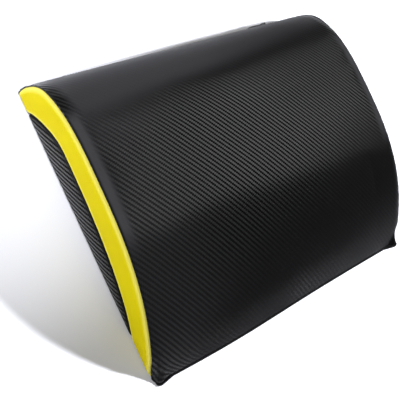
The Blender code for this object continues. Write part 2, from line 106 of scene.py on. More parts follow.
# Cover sheet, seams and the base cover's rim
SHEET = 0.0012
THREAD = 0.0007
SEAM_WIDTH = 0.0013
ROLL_WIDTH = 0.012
ROLL_DEPTH = 0.0020
EDGE_FROM_SIDE = 0.0008
FRONT_CORNER = 0.016
BACK_CORNER = 0.002
RIM_HEIGHT = 0.0017
RIM_SEAM = 0.0009
PANEL_FOOT = RIM_HEIGHT + RIM_SEAM
SEAM_DEPTH = ROLL_DEPTH + SEAM_WIDTH / 2
BAND_DEPTH = SEAM_DEPTH + SEAM_WIDTH / 2

# How the sheets turn in at their seams, and the small puckers that the sewing leaves
CURL_START = 0.0019
CURL_END_DEPTH = 0.0026
CURL_REACH = 0.0006
TURN_WIDTH = 0.0026
TURN_DEPTH = 0.0019
BAND_CROWN = 0.0010
PUCKER_DEPTH = 0.00022
PUCKER_REACH = 0.0075
PUCKER_PITCH = 0.0125
SLOT_TURN = 0.0012
SLOT_SHARES = np.array([0, 0.35, 0.8, 1.6])
COLUMN_STEP = 0.002

# Foot of the side sheets, which hangs over the base cover's tucked-in sides
SIDE_FOOT = 0.0010
SIDE_TUCK = 0.0028
TUCK_EASE = 0.006
FOOT_SOFTNESS = 0.0006
FOOT_TURN_WIDTH = 0.0012
FOOT_TURN_DEPTH = 0.0009
FOOT_RIDGE = 0.0001
FOOT_RIDGE_UP = 0.0042
FOOT_RIDGE_WIDTH = 0.0014

# How the sewn mat sits unevenly: pinched front corners, a bowed front edge, a fuller right side and shoulder
FRONT_WRAP = 0.0034
WRAP_SPAN = (0.034, 0.006)
WRAP_ACROSS = 0.0075
PINCH_FROM_SIDE = 0.006
PINCH_FROM_FRONT = 0.003
PINCH_REACH = 0.012
PINCH_OUT = 0.0055
PINCH_ASIDE = (0.0030, 0.0014)
PINCH_FLAT = 0.45
RIGHT_LIFT = 0.0055
FRONT_BOW = 0.0036
BOW_MIDDLE = -0.09
BOW_REACH = 0.11
BOW_BACK = 0.04
RIGHT_SWELL = 0.0022
RIGHT_SWELL_FROM = 0.152
SHOULDER_BACK = (0.060, 0.110)
SHOULDER_UP = (0.022, 0.045)
SHOULDER_PUSH = (0.6, 0.8)
RIGHT_FULLER = 0.0018
LEFT_FULLER = 0.0020
LEFT_FULLER_FROM = 0.155
BACK_SHARP = 0.55
BACK_SHARP_SPAN = (0.085, 0.045)
RIM_ROUND = 0.0011
RIM_LIFT = 0.00005

# Where the ribs are pulled flat, where a lighter painted sheen lies and where the coating's gloss is cut, up
# the dome and from a seam
# Over the shoulder the ribs go flat under a lighter painted sheen, cut down towards the right
SHOULDER_EASE = (0.232, 0.288)
SHOULDER_START = (0.267, 0.294)
SHOULDER_TILT = 0.08
SHOULDER_END = (0.353, 0.335)
SHOULDER_FROM_SEAM = (0.005, 0.020)
SHOULDER_SHARE = (0.04, 0.60)
SHOULDER_SHEEN_CUT = 0.64
SHOULDER_SHEEN_CUT_SPAN = (-0.05, 0.18)
# Behind a slanting line at the front foot the ribs go flat in the darker flat tone: painted shade
FOOT_LINE = 0.108
FOOT_TILT = 0.40
FOOT_EASE = 0.052
FOOT_PULL = 0.92
FOOT_LEFT_DROP = 0.035
FOOT_LEFT_SPAN = (-0.09, -0.17)
RIGHT_DULL = 0.42
RIGHT_DULL_SPAN = (0.0, 0.12)
RIGHT_DULL_BACK = (0.16, 0.27)
# Flat ribs at the left in the darker flat tone, with painted sheen towards the back
LEFT_PULL = 0.35
LEFT_PULL_SPAN = (-0.03, -0.15)
LEFT_SHEEN = 0.45
LEFT_BACK = (0.282, 0.232)
# A band beside the upper seams where the ribs go flat and a painted reflection lies
SEAM_SPAN = (0.016, 0.008)
SEAM_PULL = 0.9
SEAM_FRONT_END = (0.125, 0.165)
SEAM_BACK_END = (0.284, 0.262)
# Right at the upper seam no painted sheen lies, leaving painted shade along the seam line
SEAM_DARK = (0.0034, 0.0023)
# Flat ribs in the darker flat tone beside the side panels' seams: painted shade
PANEL_SEAM_SPAN = (0.004, 0.0005)
# Painted highlight along the yellow bands' sewn edges
BAND_HIGHLIGHT_SPAN = (0.0038, 0.0022)

# Zip in the back wall
ZIP_HEIGHT = 0.013
ZIP_HALF_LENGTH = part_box("zip_row_upper")[1].x
TAPE_WIDTH = 0.008
TAPE_THICK = 0.0006
TAPE_DEPTH = 0.0027
ROW_REACH = 0.0031
ROW_THICK = 0.0015
ROW_DEPTH = 0.0009
COIL_WIRE = 0.00058
COIL_PITCH = 0.00125
COIL_OVERLAP = 0.00034
SLOT_EDGE = 0.0048
SLOT_HALF_LENGTH = 0.1436
TAPE_HALF_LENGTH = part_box("zip_tape_upper")[1].x
HEM_WIDTH = 0.0028
TAPE_GAP = 0.0007
TAPE_RIPPLE = 0.00008
TAPE_RIPPLE_PITCH = 0.011

# Sewing
STITCH_LENGTH = 0.0027
STITCH_PITCH = 0.0031
SEAM_STITCH = 0.0040
TOPSTITCH_FROM_EDGE = 0.0022
TOPSTITCH_THREAD = 0.00055
COIL_STITCH_PITCH = 0.00125
COIL_STITCH_UP = 0.0019
COIL_STITCH_THREAD = 0.00036

# Slider and pull
SLIDER_HALF = 0.005
SLIDER_TALL = 0.0042
SLIDER_WAIST = 0.0035
PLATE_OUT = -0.0006
PLATE_THICK = 0.0008
LOWER_PLATE_OUT = -0.00375
LOWER_PLATE_THICK = 0.0008
FLANGE_FOOT = -0.00225
FLANGE_THICK = 0.0008
FLANGE_INSET = 0.0002
WEDGE_THICK = 0.0008
WEDGE_POINT = 0.0038
WEDGE_SHOULDER = 0.0023
WEDGE_END = 0.0008
BRIDGE_HALF = 0.0039
BRIDGE_WIDTH = 0.0024
BRIDGE_THICK = 0.0008
BRIDGE_PLAY = 0.0003
PULL_THICK = 0.0010
PULL_LENGTH = 0.024
PULL_TIP_WIDTH = 0.0078
PULL_ARM_IN = 0.0016
PULL_ARM_OUT = 0.0029
PULL_EYE = 0.0053
PULL_EYE_CORNER = 0.0008
PULL_NECK_FLARE = 0.0004
PIN = 0.0010
PIN_OUT = 0.0010
PIN_INSET = 0.0001
GRIP_RIDGE = 0.0008
GRIP_RISE = 0.00025
GRIP_RIDGES = 4

# Rounding of the solid pieces' edges
FOAM_ROUND = 0.0012
STOP_ROUND = 0.0004
PLATE_ROUND = 0.00028
LOWER_PLATE_ROUND = 0.00025
FLANGE_ROUND = 0.0002
BRIDGE_ROUND = 0.0002
PULL_ROUND = 0.0003

# Twill of the coated cloth: one crossing of its bands, along and across the ribs' cut
CELL_ALONG = 0.00177
CELL_ACROSS = 0.00139
RIGHT_TIGHTER = 0.10
TWILL_DEPTH = 0.00007

# Grain, yarns and relief of the other finishes
BLACK_GRAIN = 0.00035
BLACK_GRAIN_DEPTH = 0.00001
YELLOW_GRAIN = 0.0006
YELLOW_GRAIN_DEPTH = 0.000018
BASE_YARN = 0.0007
BASE_YARN_DEPTH = 0.00018
TAPE_YARN = 0.0004
TAPE_YARN_DEPTH = 0.00008
THREAD_TWIST_DEPTH = 0.00004
NYLON_DEPTH = 0.00001
METAL_DEPTH = 0.000006
FOAM_CELL_DEPTH = 0.0002

# Counts
PROFILE_SAMPLES = 400
PROFILE_STEPS = 150
MIDDLE_STEPS = 44
ROLL_STEPS = 9
CURL_STEPS = 5
CROSS_STEPS = 8
CORNER_STEPS = 10
STITCH_SIDES = 7
STITCH_RINGS = 5
COIL_STEPS = 12
WIRE_SIDES = 6
BRIDGE_STEPS = 10
PULL_STEPS = 8
CLOTH_FRAMES = 18

# Distance within which points are one, and the angles past which an edge is sharp or flat faces differ
MERGE = 0.00001
SHARP_ANGLE = math.radians(38)
FACE_ANGLE = math.radians(1)

# The two side faces along X, and the zip's two rows up the wall
SIDES = ((-1, "left"), (1, "right"))
ROWS = ((1, "upper"), (-1, "lower"))

# How the cover's cloth behaves while the foam presses it out
CLOTH = {
    "quality": 6,
    "mass": 0.3,
    "tension_stiffness": 20,
    "compression_stiffness": 20,
    "shear_stiffness": 10,
    "bending_stiffness": 4,
    "use_pressure": True,
}

# Kinds of settings and of node sockets
LENGTH = {"subtype": "DISTANCE", "unit": "LENGTH"}
COLOUR = {"subtype": "COLOR", "size": 3, "min": 0, "max": 1}
VECTOR = "NodeSocketVector"
FLOAT = "NodeSocketFloat"
GEOMETRY = "NodeSocketGeometry"
MATERIAL = "NodeSocketMaterial"


def cubic(start, first, second, end, steps):
    """Points along a cubic bend between two ends."""
    share = np.linspace(0, 1, steps + 1)[:, None]
    rest = 1 - share
    start, first, second, end = (np.array(point, float) for point in (start, first, second, end))
    return rest**3 * start + 3 * rest**2 * share * first + 3 * rest * share**2 * second + share**3 * end


def crowded(first, last):
    """Distances from first to last, crowding together at both ends."""
    return first + (last - first) * (1 - np.cos(np.pi * np.arange(PROFILE_STEPS + 1) / PROFILE_STEPS)) / 2


class Profile:
    """A smooth line in the Y-Z plane, front to back, read by the distance along it."""

    def __init__(self, *bends):
        runs = [cubic(*ends, PROFILE_SAMPLES - 1) for ends in bends]
        self.points = np.vstack([runs[0]] + [run[1:] for run in runs[1:]])
        steps = np.linalg.norm(np.diff(self.points, axis=0), axis=1)
        self.marks = np.concatenate([[0], np.cumsum(steps)])
        along = np.gradient(self.points, self.marks, axis=0)
        along /= np.linalg.norm(along, axis=1)[:, None]
        self.normals = np.column_stack([-along[:, 1], along[:, 0]])

    def read(self, table, distance):
        return np.stack([np.interp(distance, self.marks, table[:, axis]) for axis in (0, 1)], axis=-1)

    def inside(self, distance, depth):
        """Points at distances along the line, moved in by depth."""
        depth = np.asarray(depth, float)[..., None]
        return self.read(self.points, distance) - self.read(self.normals, distance) * depth

    def span(self, depth, height):
        """The two distances where the line, moved in by depth, crosses height.

        depth is one length, or one for each of the line's marks.
        """
        moved = (self.points - self.normals * np.reshape(depth, (-1, 1)))[:, 1]
        crest = int(np.argmax(moved))
        first = np.interp(height, moved[:crest], self.marks[:crest])
        last = np.interp(-height, -moved[crest:], self.marks[crest:])
        return first, last

    def eased(self, depth, height):
        """Distances between the two crossings, crowding together at both ends."""
        return crowded(*self.span(depth, height))


def bend(start, start_angle, start_reach, end, end_reach, end_angle=0.0):
    """Ends of a cubic bend that leaves and arrives at the given slopes."""
    start = np.array(start)
    end = np.array(end)
    leaving = np.array([math.cos(start_angle), math.sin(start_angle)]) * start_reach
    arriving = np.array([math.cos(end_angle), math.sin(end_angle)]) * end_reach
    return start, start + leaving, end - arriving, end


DOME = Profile(
    bend((FRONT_Y, 0), FRONT_RISE, FRONT_REACH, (CREST_Y, HEIGHT), CREST_FRONT_REACH),
    bend((CREST_Y, HEIGHT), 0, CREST_BACK_REACH, (BACK_Y, 0), BACK_REACH, -math.pi / 2),
)
PANEL = Profile(
    bend(
        (FRONT_Y + PANEL_FROM_FRONT, 0), PANEL_FRONT_RISE, PANEL_FRONT_REACH,
        (PANEL_CREST_Y, PANEL_HEIGHT), PANEL_CREST_FRONT_REACH,
    ),
    bend(
        (PANEL_CREST_Y, PANEL_HEIGHT), 0, PANEL_CREST_BACK_REACH,
        (BACK_Y - PANEL_FROM_BACK, 0), PANEL_BACK_REACH, -PANEL_BACK_RISE,
    ),
)
ZIP_CENTRE = DOME.span(0, ZIP_HEIGHT)[1]


def settings():
    return bpy.context.scene.ab_mat


def drawn_in(y, inset=0.0):
    """How far the sides come in at the rounded front corners, on a layer moved in by inset."""
    radius = FRONT_CORNER - inset
    left = np.clip(FRONT_CORNER - (np.asarray(y) - FRONT_Y), 0, None)
    return np.where(left > 0, radius - np.sqrt(np.clip(radius**2 - left**2, 0, None)), 0)


def roll(from_side):
    """How far the top cover has rolled down at a distance from the mat's side."""
    share = np.clip((ROLL_WIDTH - from_side) / (ROLL_WIDTH - EDGE_FROM_SIDE), 0, None)
    return ROLL_DEPTH * share**3


def edge_section():
    """The top cover's edge, from inside the seam out and up to where the roll ends."""
    start_depth = float(roll(CURL_START))
    slope = math.atan((float(roll(CURL_START)) - float(roll(CURL_START + MERGE))) / MERGE)
    curl = cubic(
        (EDGE_FROM_SIDE + CURL_REACH, CURL_END_DEPTH),
        (EDGE_FROM_SIDE - CURL_REACH / 3, CURL_END_DEPTH),
        (CURL_START - CURL_REACH * math.cos(slope), start_depth + CURL_REACH * math.sin(slope)),
        (CURL_START, start_depth),
        CURL_STEPS,
    )
    stations = CURL_START + (ROLL_WIDTH - CURL_START) * (np.arange(1, ROLL_STEPS + 1) / ROLL_STEPS)
    rolled = np.column_stack([stations, roll(stations)])
    return np.vstack([curl, rolled])


def pucker(distance, from_seam, phase):
    """Shallow dents beside a seam, unevenly spaced."""
    turn = 2 * np.pi * distance / PUCKER_PITCH
    wave = np.cos(turn + phase) + 0.6 * np.cos(0.37 * turn + 2.1 * phase)
    wave = wave + 0.4 * np.cos(1.7 * turn + phase)
    return PUCKER_DEPTH * (1 + 0.5 * wave) * np.exp(-((from_seam / PUCKER_REACH) ** 2))


def ramp(value, start, end):
    """0 before start and 1 past end, smoothly, in either direction."""
    share = np.clip((np.asarray(value, float) - start) / (end - start), 0, 1)
    return share * share * (3 - 2 * share)


def pulled_flat(distance, x, from_side):
    """How flat the twill's ribs are pulled, where a lighter painted sheen lies, and how far its coating's
    gloss is cut.

    Painted sheen lies on the shoulder, at the left and beside the seams; the ribs lie flat at the front
    foot, painted darker as shade.
    """
    past = ramp(distance, *SHOULDER_END) * ramp(from_side, *SHOULDER_FROM_SEAM)
    near = distance - SHOULDER_TILT * x
    shoulder = ramp(near, *SHOULDER_EASE) * past
    left = ramp(x, *LEFT_PULL_SPAN)
    # Flat ribs at the front foot, painted darker as shade, behind a slanting line
    line = FOOT_LINE + FOOT_TILT * x - FOOT_LEFT_DROP * ramp(x, *FOOT_LEFT_SPAN)
    foot = FOOT_PULL * ramp(distance, line + FOOT_EASE, line - FOOT_EASE)
    # Flat ribs with a painted reflection in a band beside the upper seams
    seam = SEAM_PULL * ramp(distance, *SEAM_FRONT_END) * ramp(distance, *SEAM_BACK_END)
    seam = seam * ramp(from_side, *SEAM_SPAN)
    # Painted sheen at the left, towards the back
    drawn = LEFT_SHEEN * left * ramp(distance, *LEFT_BACK) * (1 - foot)
    pressed = 1 - (1 - shoulder) * (1 - seam) * (1 - foot) * (1 - LEFT_PULL * left)
    # Less painted sheen on the shoulder towards the right
    sheen_kept = 1 - SHOULDER_SHEEN_CUT * ramp(x, *SHOULDER_SHEEN_CUT_SPAN)
    shoulder = SHOULDER_SHARE[0] * shoulder + SHOULDER_SHARE[1] * ramp(near, *SHOULDER_START) * past
    stretched = 1 - (1 - shoulder * sheen_kept) * (1 - seam) * (1 - drawn)
    # No painted sheen right at the seam, leaving painted shade along it
    stretched = stretched * (1 - ramp(from_side, *SEAM_DARK))
    dulled = RIGHT_DULL * ramp(x, *RIGHT_DULL_SPAN) * ramp(distance, *RIGHT_DULL_BACK)
    return pressed, stretched, dulled


def above_foot(height):
    """Heights kept over the side sheets' foot, easing out just above it."""
    over = height - SIDE_FOOT
    return SIDE_FOOT + (over + np.hypot(over, FOOT_SOFTNESS)) / 2


def sewn_depth(distance, depth):
    """Depth of a line beside the upper seam: sharper at the back wall, and round the front corners."""
    length = DOME.marks[-1]
    sharper = BACK_SHARP * ramp(distance, length - BACK_SHARP_SPAN[0], length - BACK_SHARP_SPAN[1])
    return depth * (1 - sharper) + FRONT_WRAP * ramp(distance, *WRAP_SPAN)


def settled(point):
    """A soft piece's points, moved as the sewn mat sits."""
    x, y, z = np.moveaxis(np.asarray(point, float), -1, 0)
    side = np.sign(x)
    away = np.hypot(np.abs(x) - (HALF_WIDTH - PINCH_FROM_SIDE), y - (FRONT_Y + PINCH_FROM_FRONT))
    near = ramp(away, PINCH_REACH, 0)
    bow = FRONT_BOW * np.exp(-(((x - BOW_MIDDLE) / BOW_REACH) ** 2)) * ramp(y, FRONT_Y + BOW_BACK, FRONT_Y)
    lift = np.where(x > 0, RIGHT_LIFT, 0.0)
    fuller = RIGHT_FULLER * ramp(x, 0, RIGHT_SWELL_FROM)
    fuller = fuller + LEFT_FULLER * ramp(-x, LEFT_FULLER_FROM, HALF_WIDTH)
    fuller *= ramp(y, *SHOULDER_BACK) * ramp(z, *SHOULDER_UP)
    aside = side * near * np.where(x < 0, *PINCH_ASIDE)
    x = x + RIGHT_SWELL * ramp(x, RIGHT_SWELL_FROM, HALF_WIDTH) + aside
    y = y - bow - near * PINCH_OUT + fuller * SHOULDER_PUSH[0]
    z = z * (1 - PINCH_FLAT * near) + lift * near + fuller * SHOULDER_PUSH[1]
    return np.stack([x, y, z], axis=-1)


def new_object(name, data):
    made = bpy.data.objects.new(name, data)
    bpy.context.scene.collection.objects.link(made)
    return made


def grid_object(name, places, cloth, outward, hole=None, **shares):
    """A sheet through a table of places, with its cloth coordinates in metres as a UV map.

    outward is a direction that the sheet's faces should look to, hole marks faces to leave out, and
    shares are tables from 0 to 1 that its material reads by name.
    """
    rows, columns = places.shape[:2]
    index = np.arange(rows * columns).reshape(rows, columns)
    faces = np.stack([index[:-1, :-1], index[1:, :-1], index[1:, 1:], index[:-1, 1:]], axis=-1)
    if hole is not None:
        faces = faces[~hole]
    faces = faces.reshape(-1, 4)
    points = places.reshape(-1, 3)
    middle = faces[len(faces) // 2]
    across = np.cross(points[middle[1]] - points[middle[0]], points[middle[3]] - points[middle[0]])
    if np.dot(across, outward) < 0:
        faces = faces[:, ::-1]
    data = bpy.data.meshes.new(name)
    data.from_pydata(points.tolist(), [], faces.tolist())
    layer = data.uv_layers.new(name="cloth")
    corners = np.zeros(len(data.loops), int)
    data.loops.foreach_get("vertex_index", corners)
    layer.data.foreach_set("uv", cloth.reshape(-1, 2)[corners].ravel())
    for label, table in shares.items():
        data.attributes.new(label, "FLOAT", "POINT").data.foreach_set("value", np.ravel(table))
    return new_object(name, data)


def evaluated_mesh(thing):
    """The thing's mesh as its modifiers leave it."""
    bpy.context.view_layer.update()
    graph = bpy.context.evaluated_depsgraph_get()
    return bpy.data.meshes.new_from_object(thing.evaluated_get(graph), depsgraph=graph)


def settle(thing):
    """Replace the thing's mesh by what its modifiers make of it."""
    data = evaluated_mesh(thing)
    thing.modifiers.clear()
    old = thing.data
    thing.data = data
    if isinstance(old, bpy.types.Mesh):
        bpy.data.meshes.remove(old)
    data.name = thing.name


def reshape(data, change):
    """Change a mesh through bmesh."""
    bm = bmesh.new()
    bm.from_mesh(data)
    change(bm)
    bm.to_mesh(data)
    bm.free()


def new_mesh(name, bm):
    """An object of what a bmesh holds."""
    data = bpy.data.meshes.new(name)
    bm.to_mesh(data)
    bm.free()
    return new_object(name, data)


def merge(bm):
    bmesh.ops.remove_doubles(bm, verts=bm.verts, dist=MERGE)


def face_out(bm):
    bmesh.ops.recalc_face_normals(bm, faces=bm.faces)


def keep_above_floor(thing):
    for vert in thing.data.vertices:
        vert.co.z = max(vert.co.z, SIDE_FOOT / 4)


def thicken(thing, thickness=SHEET):
    shell = thing.modifiers.new("sheet", "SOLIDIFY")
    shell.thickness = thickness
    shell.offset = -1
    shell.use_even_offset = False
    shell.use_quality_normals = True
    settle(thing)


def round_edges(thing, width, segments=2):
    edges = thing.modifiers.new("round", "BEVEL")
    edges.width = width
    edges.segments = segments
    edges.limit_method = "ANGLE"
    edges.angle_limit = SHARP_ANGLE
    edges.use_clamp_overlap = True
    edges.harden_normals = False
    settle(thing)


def press_out(thing, pinned, pressure, cap):
    """Let the foam press a sewn sheet out, as a cloth held at its seams, and cap how far it moves."""
    count = len(thing.data.vertices)
    before = np.zeros(count * 3)
    thing.data.vertices.foreach_get("co", before)
    sewn = thing.vertex_groups.new(name="sewn")
    sewn.add(pinned, 1.0, "REPLACE")
    cloth = thing.modifiers.new("foam pressure", "CLOTH")
    for key, value in CLOTH.items():
        setattr(cloth.settings, key, value)
    cloth.settings.vertex_group_mass = sewn.name
    cloth.settings.uniform_pressure_force = pressure
    cloth.settings.effector_weights.gravity = 0
    cloth.point_cache.frame_start = 1
    cloth.point_cache.frame_end = CLOTH_FRAMES
    scene = bpy.context.scene
    for number in range(1, CLOTH_FRAMES + 1):
        scene.frame_set(number)
    data = evaluated_mesh(thing)
    after = np.zeros(count * 3)
    data.vertices.foreach_get("co", after)
    thing.modifiers.remove(cloth)
    thing.vertex_groups.remove(sewn)
    scene.frame_set(1)
    move = (after - before).reshape(-1, 3)
    length = np.linalg.norm(move, axis=1)[:, None]
    move *= np.minimum(1, cap / np.maximum(length, MERGE))
    thing.data.vertices.foreach_set("co", (before.reshape(-1, 3) + move).ravel())
    bpy.data.meshes.remove(data)


def dress(piece, body, slot_name, *nodes, fill=None):
    """Put a finished piece on its body, in place of the nodes that it stands for."""
    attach(piece, body)
    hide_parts(*nodes)


# Building nodes


def put(tree, kind, values=(), **options):
    """A node with its inputs set or linked, in order or by name."""
    node = tree.nodes.new(kind)
    for name, value in options.items():
        setattr(node, name, value)
    for key, value in values.items() if isinstance(values, dict) else enumerate(values):
        if isinstance(value, bpy.types.NodeSocket):
            tree.links.new(value, node.inputs[key])
        else:
            node.inputs[key].default_value = value
    return node


def out(tree, kind, values=(), **options):
    """The first output of a new node."""
    return put(tree, kind, values, **options).outputs[0]


def feed(tree, inputs, **values):
    """Link values to the inputs of those names."""
    for key, value in values.items():
        tree.links.new(value, inputs[key.replace("_", " ")])


def calc(tree, operation, *values, clamp=False):
    """The result of one Math node."""
    return out(tree, "ShaderNodeMath", values, operation=operation, use_clamp=clamp)


def times(tree, first, second):
    return calc(tree, "MULTIPLY", first, second)


def rest_of(tree, share):
    """What a share leaves of 1."""
    return calc(tree, "SUBTRACT", 1.0, share)


def scaled(tree, place, factors):
    """A place stretched by one factor along each axis."""
    return out(tree, "ShaderNodeVectorMath", (place, factors), operation="MULTIPLY")


def blended(tree, share, first, second):
    """A colour between two others."""
    return put(tree, "ShaderNodeMix", {0: share, 6: first, 7: second}, data_type="RGBA").outputs[2]


def spread(tree, value, low, high, new_low, new_high):
    """A value moved from one range to another."""
    return out(tree, "ShaderNodeMapRange", (value, low, high, new_low, new_high))


def noise(tree, place, scale, detail=2.0):
    return out(tree, "ShaderNodeTexNoise", {"Vector": place, "Scale": scale, "Detail": detail})


def group(name, kind, inputs, outputs):
    """An empty node group with named sockets, its input node and its output node."""
    tree = bpy.data.node_groups.new(name, kind)
    for side, sockets in (("INPUT", inputs), ("OUTPUT", outputs)):
        for label, socket_kind, *default in sockets:
            made = tree.interface.new_socket(label, in_out=side, socket_type=socket_kind)
            if default:
                made.default_value = default[0]
    return tree, tree.nodes.new("NodeGroupInput").outputs, tree.nodes.new("NodeGroupOutput").inputs


def shader_group(name, inputs, outputs):
    """An empty shader group that reads a place and named numbers, and gives named numbers."""
    given = [("Place", VECTOR), *((label, FLOAT, value) for label, value in inputs.items())]
    return group(name, "ShaderNodeTree", given, [(label, FLOAT) for label in outputs])


def twill_group():
    """Two-by-two twill of flat bands: which band is on top, its relief, and the ribs that it makes."""
    cells = {"Cell Along": CELL_ALONG, "Cell Across": CELL_ACROSS}
    tree, given, made = shader_group("twill", cells, ("Weft", "Relief", "Rib"))
    parts = put(tree, "ShaderNodeSeparateXYZ", (given["Place"],)).outputs
    along = calc(tree, "DIVIDE", parts[0], given["Cell Along"])
    across = calc(tree, "DIVIDE", parts[1], given["Cell Across"])
    along_part = calc(tree, "FRACT", along)
    across_part = calc(tree, "FRACT", across)
    count = calc(tree, "ADD", calc(tree, "FLOOR", along), calc(tree, "FLOOR", across))
    step = calc(tree, "FLOORED_MODULO", count, 4.0)
    weft = calc(tree, "LESS_THAN", step, 1.5)

    def arched(value, power):
        wide = calc(tree, "ABSOLUTE", calc(tree, "MULTIPLY_ADD", value, 2.0, -1.0))
        return rest_of(tree, calc(tree, "POWER", wide, power))

    weft_float = times(tree, calc(tree, "ADD", step, across_part), 0.5)
    warp_step = calc(tree, "SUBTRACT", step, 2.0)
    warp_float = times(tree, calc(tree, "ADD", warp_step, along_part), 0.5)
    weft_top = times(tree, arched(along_part, 2.5), arched(weft_float, 5.0))
    warp_top = times(tree, arched(across_part, 2.5), arched(warp_float, 5.0))
    warp_relief = times(tree, rest_of(tree, weft), times(tree, warp_top, 0.7))
    relief = calc(tree, "ADD", times(tree, weft, weft_top), warp_relief)
    phase = times(tree, calc(tree, "ADD", along, across), math.pi / 2)
    ridge = calc(tree, "SINE", calc(tree, "SUBTRACT", phase, math.pi / 4))
    feed(tree, made, Weft=weft, Relief=relief, Rib=spread(tree, ridge, -1, 1, 0, 1))


def grain_group():
    """Fine coated-cloth grain: its relief, and slow changes of tone."""
    tree, given, made = shader_group("coating", {"Grain": YELLOW_GRAIN}, ("Relief", "Tone"))
    place = given["Place"]
    scale = calc(tree, "DIVIDE", 1.0, given["Grain"])
    cells = out(
        tree, "ShaderNodeTexVoronoi", {"Vector": place, "Scale": scale}, feature="DISTANCE_TO_EDGE"
    )
    fine = noise(tree, place, times(tree, scale, 1.9), 3.0)
    relief = calc(tree, "ADD", spread(tree, cells, 0, 0.18, 0, 0.75), times(tree, fine, 0.35))
    tone = spread(tree, noise(tree, place, 14.0, 3.0), 0.3, 0.7, 0, 1)
    feed(tree, made, Relief=relief, Tone=tone)


def scuff_group():
    """Faint rubbing and dust: patches broken into fine scratches."""
    tree, given, made = shader_group("rubbing", {"Amount": 0.3}, ("Mask",))
    place = given["Place"]
    patches = spread(tree, noise(tree, place, 22.0, 4.0), 0.48, 0.72, 0, 1)
    lines = spread(tree, noise(tree, scaled(tree, place, (1.0, 0.14, 0.4)), 900.0), 0.55, 0.75, 0, 1)
    feed(tree, made, Mask=times(tree, times(tree, patches, lines), given["Amount"]))


def weave_group():
    """Plain weave of round yarns, over and under."""
    tree, given, made = shader_group("plain_weave", {"Yarn": BASE_YARN}, ("Relief", "Tone"))
    place = given["Place"]
    per_metre = calc(tree, "DIVIDE", 1.0, given["Yarn"])
    yarns = out(tree, "ShaderNodeVectorMath", {0: place, "Scale": per_metre}, operation="SCALE")
    parts = put(tree, "ShaderNodeSeparateXYZ", (yarns,)).outputs
    first, second = (calc(tree, "SINE", times(tree, part, math.pi)) for part in parts[:2])
    over = spread(tree, times(tree, first, second), -0.35, 0.35, 0, 1)
    rows = times(tree, over, calc(tree, "ABSOLUTE", first))
    columns = times(tree, rest_of(tree, over), calc(tree, "ABSOLUTE", second))
    fuzz = noise(tree, place, 2600.0)
    relief = calc(tree, "MULTIPLY_ADD", fuzz, 0.3, calc(tree, "ADD", rows, columns))
    tone = spread(tree, noise(tree, place, 60.0, 4.0), 0.3, 0.7, 0, 1)
    feed(tree, made, Relief=relief, Tone=tone)


def use_group(tree, name, **values):
    return put(tree, "ShaderNodeGroup", values, node_tree=bpy.data.node_groups[name]).outputs


def finish(name, **constants):
    """A material with a Principled shader, whose plain values are set on its own sockets."""
    made = bpy.data.materials.new(name)
    made.use_nodes = True
    tree = made.node_tree
    shader = tree.nodes["Principled BSDF"]
    for key, value in constants.items():
        shader.inputs[key.replace("_", " ")].default_value = value
    return made, tree, shader


def cloth_place(tree):
    """The piece's own cloth coordinates, in metres."""
    return out(tree, "ShaderNodeUVMap", uv_map="cloth")


def object_place(tree):
    return put(tree, "ShaderNodeTexCoord").outputs["Object"]


def attribute(tree, name):
    """A share that the mesh holds at its points."""
    return put(tree, "ShaderNodeAttribute", attribute_name=name).outputs["Fac"]


def bump(tree, shader, *layers):
    """Stack relief layers, each a height from 0 to 1 and its depth in metres, on the shader's normal."""
    under = {}
    for height, depth in layers:
        values = {"Strength": 1.0, "Distance": depth, "Height": height, **under}
        under = {"Normal": out(tree, "ShaderNodeBump", values)}
    feed(tree, shader.inputs, **under)


def solid(colour):
    return (*colour, 1.0)


def lighter(colour, times_over):
    return solid([times_over * channel for channel in colour])


